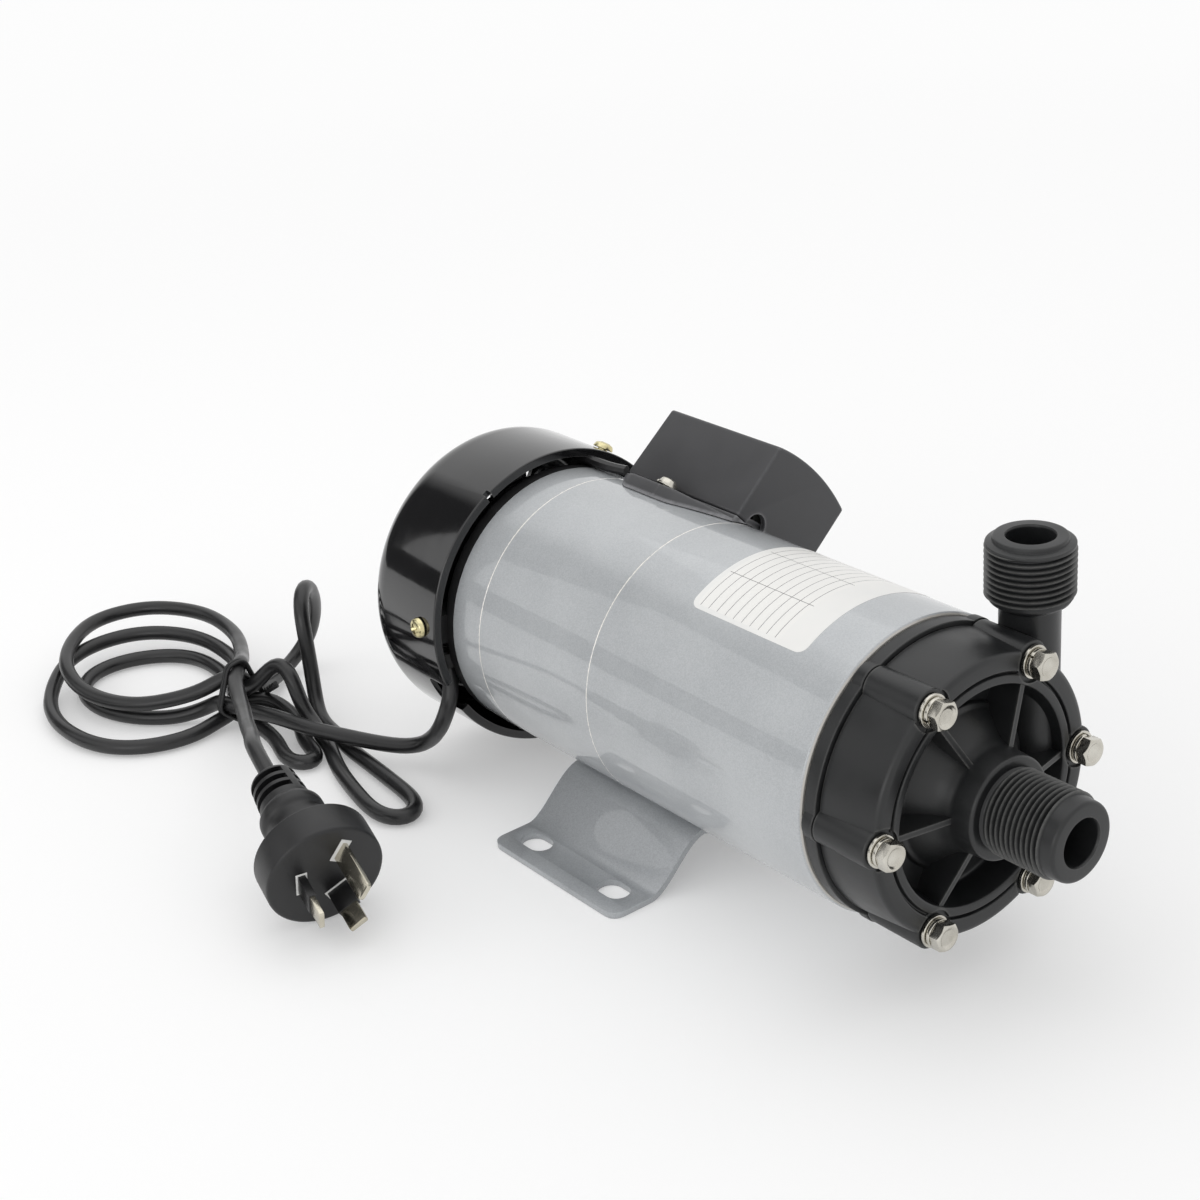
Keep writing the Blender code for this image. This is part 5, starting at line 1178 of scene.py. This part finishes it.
def thread_ridge(name, turns):
    """A winding ridge about Z that starts at height 0, closed at both ends."""
    root = THREAD - THREAD_DEPTH - 0.25
    corners = [(root, 0.02), (THREAD, 0.45), (THREAD, 0.55), (root, 0.98)]
    places = [Vector((r, 0, z * PITCH)) * MM for r, z in corners]
    made = draw(name, [*places, places[0]])
    bpy.ops.mesh.remove_doubles(threshold=2e-6)
    only(made)
    wind = made.modifiers.new("wind", "SCREW")
    wind.axis = "Z"
    wind.angle = TAU
    wind.screw_offset = PITCH * MM
    wind.iterations = turns
    wind.steps = wind.render_steps = WIND_STEPS
    wind.use_smooth_shade = False
    bpy.ops.object.modifier_apply(modifier=wind.name)
    count = turns * WIND_STEPS + 1
    last = count - 1
    each = len(made.data.vertices) // count
    for i, vert in enumerate(made.data.vertices):
        step = i // each
        fade = min(1.0, (step + 1) / 14, (last - step + 1) / 14)
        radius = math.hypot(vert.co.x, vert.co.y)
        wanted = root * MM + (radius - root * MM) * fade
        vert.co.x *= wanted / radius
        vert.co.y *= wanted / radius
    bpy.ops.object.mode_set(mode="EDIT")
    bpy.ops.mesh.select_all(action="DESELECT")
    bpy.ops.mesh.select_non_manifold(use_wire=False, use_multi_face=False, use_non_contiguous=False, use_verts=False)
    bpy.ops.mesh.fill_holes(sides=0)
    bpy.ops.mesh.select_all(action="SELECT")
    bpy.ops.mesh.normals_make_consistent(inside=False)
    return only(made)


# %% [markdown]
# ## The front casing
#
# The front half of the pump is one moulding: a drum with a sunk face, a sloping hub, six
# thin ribs from the hub to the bolts, six bosses that run down its side, the inlet on the
# axis and the outlet that stands up on the far side. The turned shape comes first, what
# is added is joined next, and what is hollow is cut last.

# %% The front casing
PARTING = 88.2
HEAD_FRONT = 108.8
FLOOR_X = 98.4
BOLT_CIRCLE = 40.54
BOLT_SEAT = 107.9
OUTLET = at(95.9, 32.8, 0)
BOLT_ANGLES = [60 * i for i in range(6)]

casing_outline = [
    (PARTING, 0.0), (PARTING, 44.0, 0.25), (HEAD_FRONT, 42.6, 1.9), (HEAD_FRONT, 37.2, 0.35),
    (HEAD_FRONT - 1.4, 36.9, 0.3), (HEAD_FRONT - 1.4, 36.3, 0.3), (HEAD_FRONT, 36.0, 0.35),
    (HEAD_FRONT, 33.4, 0.7), (FLOOR_X, 32.2, 1.4), (FLOOR_X, 25.4, 0.5), (FLOOR_X + 1.5, 25.0, 0.5),
    (FLOOR_X + 1.9, 23.6, 0.6), (FLOOR_X + 8.6, 17.4, 2.5), (FLOOR_X + 12.4, 16.1, 0.8), (118.4, 15.6, 1.1), (118.4, 0.0),
]
casing = turned("casing", casing_outline, 144)
inlet_outline = [
    (114.0, 0.0), (114.0, 13.0), (118.0, 13.0, 0.3), (119.0, 11.9, 0.3), (138.0, 11.8, 0.3),
    (138.7, 12.3, 0.3), (143.9, 11.9, 1.2), (143.9, 0.0),
]
inlet = turned("inlet", inlet_outline, 96)
ridge = thread_ridge("inlet_ridge", 11)
ridge.data.transform(Matrix.Translation(at(118.6, 0, 0)) @ Matrix.Rotation(math.pi / 2, 4, "Y"))
solid(inlet, [ridge], "UNION")
solid(casing, [inlet], "UNION")
print("inlet joined,", len(casing.data.polygons), "faces")

# %% The outlet
outlet_outline = [
    (65.9, 0.0), (65.9, 10.8, 0.7), (64.5, 10.9, 0.2), (64.0, 12.9, 0.4), (62.9, 12.8, 0.3), (62.5, 11.85),
    (46.4, 11.85, 0.6),
    (44.9, 8.9, 0.8), (0.0, 8.9), (0.0, 0.0),
]
outlet = turned("outlet", outlet_outline, 96, centre=OUTLET, standing=True)
ridge = thread_ridge("outlet_ridge", 9)
ridge.data.transform(Matrix.Translation(OUTLET + Vector((0, 0, 46.2)) * MM))
solid(outlet, [ridge], "UNION")
gusset_line = [(0, 46.0), (-15.5, 30.0), (-13.0, 18.0), (0, 18.0)]
gusset = [OUTLET + Vector((-1.2, y, z)) * MM for y, z in gusset_line]
solid(outlet, [extruded("gusset", gusset, Vector((2.4, 0, 0)) * MM)], "UNION")
solid(casing, [outlet], "UNION")


# %% Bosses and ribs
def casing_ribs():
    """Six thin ribs that fall from the hub to the rim."""
    side = [(96.0, 34.9), (HEAD_FRONT - 0.8, 34.9), (HEAD_FRONT - 0.9, 33.0), (FLOOR_X + 13.4, 14.0), (FLOOR_X + 7, 14.0), (96.0, 26.0)]
    places = [at(x, -0.95, z) for x, z in side]
    rib = extruded("rib", places, Vector((0, 1.9, 0)) * MM)
    return copies_round(rib, BOLT_ANGLES)


def side_bosses(name, start, end, radius, front_round):
    corners = [(start, 0.0), (start, radius), (end, radius, front_round), (end, 0.0)]
    boss = turned(name, corners, 40, centre=at(0, 0, BOLT_CIRCLE))
    return copies_round(boss, BOLT_ANGLES)


solid(casing, side_bosses("boss", PARTING + 0.02, BOLT_SEAT, 6.0, 0.7), "UNION")
solid(casing, casing_ribs(), "UNION")

# %% Hollow places
cavity_line = [
    (PARTING - 5, 0.0), (PARTING - 5, 33.6), (PARTING + 6.4, 33.0, 1.5), (PARTING + 6.4, 24.0),
    (FLOOR_X - 1.0, 22.0), (FLOOR_X + 5.6, 14.6), (FLOOR_X + 6.5, 7.1), (143.2, 7.1, 0.3), (146.0, 8.6), (146.0, 0.0),
]
cavity = turned("cavity", cavity_line, 96)
seal_line = [(PARTING - 3, 34.5), (PARTING - 3, 36.7), (PARTING + 1.6, 36.7), (PARTING + 1.6, 34.5)]
solid(casing, [cavity], "DIFFERENCE")
solid(casing, [turned("seal_seat", seal_line, 96, ring=True)], "DIFFERENCE")
bore_line = [(4.6, 0.0), (4.6, 7.0), (65.3, 7.0, 0.3), (68.0, 8.6), (68.0, 0.0)]
solid(casing, [turned("bore", bore_line, 64, centre=OUTLET, standing=True)], "DIFFERENCE")
bolt_hole = bar("bolt_hole", 2.85, PARTING - 5, BOLT_SEAT + 8, centre=at(0, 0, BOLT_CIRCLE), steps=28)
solid(casing, copies_round(bolt_hole, BOLT_ANGLES), "DIFFERENCE")
bolt_seat = bar("bolt_seat", 6.4, BOLT_SEAT, BOLT_SEAT + 9, centre=at(0, 0, BOLT_CIRCLE), steps=40)
solid(casing, copies_round(bolt_seat, BOLT_ANGLES), "DIFFERENCE")
casing.name = "front_moulding"
finished(casing, head_plastic, "front_casing", angle=28)

# %% [markdown]
# ## The flange
#
# The black flange between motor and head has the same six bosses. Behind the parting
# line they end in small rounded heels that stand over the edge of the tube.

# %% The flange
CUP = 44.1
FLANGE_REAR = 83.3
FLANGE_FRONT = PARTING - 0.3
CAN_SEAT = FLANGE_FRONT - 3.1
flange_line = [
    (50.0, CUP - 3), (50.0, CUP, 0.6), (FLANGE_REAR, CUP), (FLANGE_REAR, 45.4, 0.5), (FLANGE_FRONT, 45.4, 0.4),
    (FLANGE_FRONT, CUP - 10), (CAN_SEAT - 7, CUP - 10), (CAN_SEAT - 10, CUP - 3),
]
flange = turned("flange", flange_line, 144, ring=True)
heel_line = [(FLANGE_REAR + 0.15, 0.0), (FLANGE_REAR + 0.15, 6.3, 1.2), (FLANGE_FRONT - 0.1, 6.3, 0.3), (FLANGE_FRONT - 0.1, 0.0)]
heel = turned("heel", heel_line, 40, centre=at(0, 0, BOLT_CIRCLE))
solid(flange, copies_round(heel, BOLT_ANGLES), "UNION")
solid(flange, [bar("can_pocket", 37.3, CAN_SEAT, FLANGE_FRONT + 5, steps=96)], "DIFFERENCE")
thread_hole = bar("thread_hole", 2.85, PARTING - 9, FLANGE_FRONT + 5, centre=at(0, 0, BOLT_CIRCLE), steps=28)
solid(flange, copies_round(thread_hole, BOLT_ANGLES), "DIFFERENCE")
flange.name = "motor_flange"
finished(flange, head_plastic, "motor_bracket", angle=28)

# %% [markdown]
# ## Bolts and washers
#
# Each hexagon head is a prism whose corners were chamfered on a lathe, so it is the
# overlap of a hexagon and a turned shape. Its top is slightly dished. A split lock washer
# and a flat washer lie under it.

# %% Bolts and washers
WASHER_FRONT = BOLT_SEAT + 1.4
UNDER_HEAD = WASHER_FRONT + 1.5
HEAD_TOP = UNDER_HEAD + 3.5
HEX = 8.0
above = at(0, 0, BOLT_CIRCLE)

hex_places = [above + Vector((UNDER_HEAD, y, z)) * MM for y, z in arc(HEX / math.sqrt(3), 15, 315, 6)]
hex_bolt = extruded("hex_bolt", hex_places, Vector((HEAD_TOP - UNDER_HEAD, 0, 0)) * MM)
hex_bolt = round_edges(hex_bolt, 0.14, 2, 50)
chamfer = [
    (UNDER_HEAD - 1, 0.0), (UNDER_HEAD - 1, 3.9), (UNDER_HEAD + 0.3, 4.75, 0.2), (HEAD_TOP - 0.75, 4.72, 0.3),
    (HEAD_TOP - 0.02, 3.75, 0.25), (HEAD_TOP - 0.1, 3.1, 0.3), (HEAD_TOP - 0.55, 2.5, 0.4), (HEAD_TOP - 0.6, 0.0),
]
solid(hex_bolt, [turned("chamfer", chamfer, 64, centre=above)], "INTERSECT")
shank = [(PARTING - 8, 0.0), (PARTING - 8, 2.5, 0.5), (UNDER_HEAD + 1, 2.5), (UNDER_HEAD + 1, 0.0)]
solid(hex_bolt, [turned("shank", shank, 32, centre=above)], "UNION")
lock_line = [(WASHER_FRONT + 0.15, 2.75, 0.2), (WASHER_FRONT + 0.15, 4.35, 0.25), (UNDER_HEAD - 0.1, 4.35, 0.25), (UNDER_HEAD - 0.1, 2.75, 0.2)]
lock_washer = turned("lock_washer", lock_line, 56, ring=True, centre=above)
gap = block("split", (WASHER_FRONT - 1, -0.35, BOLT_CIRCLE + 2.0), (UNDER_HEAD + 1, 0.35, BOLT_CIRCLE + 6.0))
gap.data.transform(Matrix.Translation(above) @ Matrix.Rotation(math.radians(75), 4, "X") @ Matrix.Translation(-above))
solid(lock_washer, [gap], "DIFFERENCE")
flat_line = [(BOLT_SEAT + 0.3, 2.8, 0.15), (BOLT_SEAT + 0.3, 5.0, 0.25), (WASHER_FRONT, 5.0, 0.25), (WASHER_FRONT, 2.8, 0.15)]
flat_washer = turned("flat_washer", flat_line, 56, ring=True, centre=above)
for made, node, angle in ((hex_bolt, "casing_bolt", 30), (lock_washer, None, 35), (flat_washer, "casing_washer", 35)):
    for i, twin in enumerate(copies_round(made, BOLT_ANGLES)):
        finished(twin, stainless, f"{node}_{i + 1}" if node else None, angle=angle)

# %% [markdown]
# ## Finishes for the solids that stay
#
# The inner pieces, the end plate and the small lead keep their own shapes. The inner pieces
# and the lead get the finish of the real thing, and the end plate a near-black one.

# %% Finishes for the solids that stay
inner_finishes = {
    "stator_core": laminated_steel, "rotor_core": laminated_steel, "winding_front": copper_wire,
    "winding_rear": copper_wire, "motor_shaft": ground_steel, "front_bearing": ground_steel,
    "rear_bearing": ground_steel, "drive_cup": ground_steel, "front_end_plate": cast_aluminium,
    "rear_end_plate": black_end_plate, "cooling_fan": fan_plastic, "earth_screw": stainless,
    "capacitor": can_plastic, "box_lead": cord_pvc, "cord_clamp": seal_rubber, "rear_casing": head_plastic,
    "casing_o_ring": seal_rubber, "pump_spindle": ceramic, "impeller": head_plastic, "inner_magnet": ferrite,
    "impeller_bushing": carbon, "rear_thrust_ring": ceramic, "front_thrust_ring": ceramic, "drive_magnet": ferrite,
}
for node, finish in inner_finishes.items():
    frame["nodes"][node].material_slots[0].material = finish
print("inner finishes:", len(inner_finishes))

# %% [markdown]
# ## Floor and light
#
# The pump stands on a plain white sweep under soft studio light: one wide lamp above,
# one to each side, and a pale world that fills the shadows. The world is white to the
# camera and in reflections, and a little darker as light.

# %% The floor
bpy.ops.object.select_all(action="DESELECT")
bpy.ops.mesh.primitive_plane_add(size=12.0, location=(0, 0, -0.0001))
floor = bpy.context.object
floor.name = "floor"
floor_white, tree, shader, place = start_material("white_floor", 0.7, IOR=1.3)
shader.inputs["Specular IOR Level"].default_value = 0.15
rays = put(tree, "ShaderNodeLightPath")
seen = put(
    tree, "ShaderNodeMath", {"operation": "MAXIMUM"},
    n0=rays.outputs["Is Camera Ray"], n1=rays.outputs["Is Glossy Ray"],
)
seen = put(
    tree, "ShaderNodeMath", {"operation": "MAXIMUM"},
    n0=seen.outputs[0], n1=rays.outputs["Is Transmission Ray"],
)
away = put(tree, "ShaderNodeVectorMath", {"operation": "LENGTH"}, n0=place)
faded = span(tree, away.outputs["Value"], 380.0, 1250.0, 0.0, 1.0)
lit = span(tree, faded, 0.0, 1.0, 0.70, 0.0)
white = span(tree, faded, 0.0, 1.0, 0.29, 0.947)
paint = put(tree, "ShaderNodeMix", n0=seen.outputs[0], n2=0.945, n3=lit)
tree.links.new(paint.outputs[0], shader.inputs["Base Color"])
glow = put(tree, "ShaderNodeMath", {"operation": "MULTIPLY"}, n0=seen.outputs[0], n1=white)
shader.inputs["Emission Color"].default_value = (1, 1, 1, 1)
tree.links.new(glow.outputs[0], shader.inputs["Emission Strength"])
floor.data.materials.append(floor_white)
floor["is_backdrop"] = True


# %% The lamps
def soft_lamp(name, place, aim, size, watts, colour="#ffffff"):
    lamp = bpy.data.lights.new(name, "AREA")
    lamp.shape = "RECTANGLE"
    lamp.size, lamp.size_y = size
    lamp.energy = watts
    lamp.color = linear(colour)[:3]
    made = bpy.data.objects.new(name, lamp)
    made.location = place
    made.rotation_euler = (Vector(aim) - Vector(place)).to_track_quat("-Z", "Y").to_euler()
    bpy.context.scene.collection.objects.link(made)
    return made


soft_lamp("lamp_above", (-0.2, 0.3, 1.5), (0, 0, 0), (1.8, 1.8), 5.0)
soft_lamp("lamp_left", (-0.9, -1.2, 0.8), (0, 0, 0.05), (1.2, 0.9), 3.0)
soft_lamp("lamp_front", (0.5, -1.3, 0.45), (0, 0, 0.03), (1.0, 0.6), 2.2)

world = bpy.data.worlds.new("studio")
bpy.context.scene.world = world
world.use_nodes = True
tree = world.node_tree
rays = put(tree, "ShaderNodeLightPath")
seen = put(tree, "ShaderNodeMath", {"operation": "MAXIMUM"}, n0=rays.outputs["Is Camera Ray"], n1=rays.outputs["Is Transmission Ray"])
seen = put(tree, "ShaderNodeMath", {"operation": "MAXIMUM"}, n0=seen.outputs[0], n1=rays.outputs["Is Glossy Ray"])
strength = put(tree, "ShaderNodeMapRange", n0=seen.outputs[0], n1=0.0, n2=1.0, n3=0.78, n4=0.96)
way = put(tree, "ShaderNodeTexCoord").outputs["Generated"]
toward = put(tree, "ShaderNodeVectorMath", {"operation": "DOT_PRODUCT"}, n0=way, n1=(-0.73, -0.64, 0.24))
dark = span(tree, toward.outputs["Value"], 0.74, 0.84, 0.0, 0.9)
dark = put(tree, "ShaderNodeMath", {"operation": "MULTIPLY"}, n0=dark, n1=rays.outputs["Is Glossy Ray"])
left = put(tree, "ShaderNodeMath", {"operation": "SUBTRACT"}, n0=1.0, n1=dark.outputs[0])
strength = put(tree, "ShaderNodeMath", {"operation": "MULTIPLY"}, n0=strength.outputs[0], n1=left.outputs[0])
backdrop = tree.nodes["Background"]
backdrop.inputs["Color"].default_value = (1, 1, 1, 1)
tree.links.new(strength.outputs[0], backdrop.inputs["Strength"])
bpy.context.scene.view_settings.view_transform = "Standard"

# %% Sizes and the last line
visual_low, visual_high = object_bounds()
sizes = {
    "cad": [list(solid_low), list(solid_high)],
    "visual": [list(visual_low), list(visual_high)],
}
for key, (low, high) in sizes.items():
    print(key, [round(v / MM, 1) for v in low], [round(v / MM, 1) for v in high])
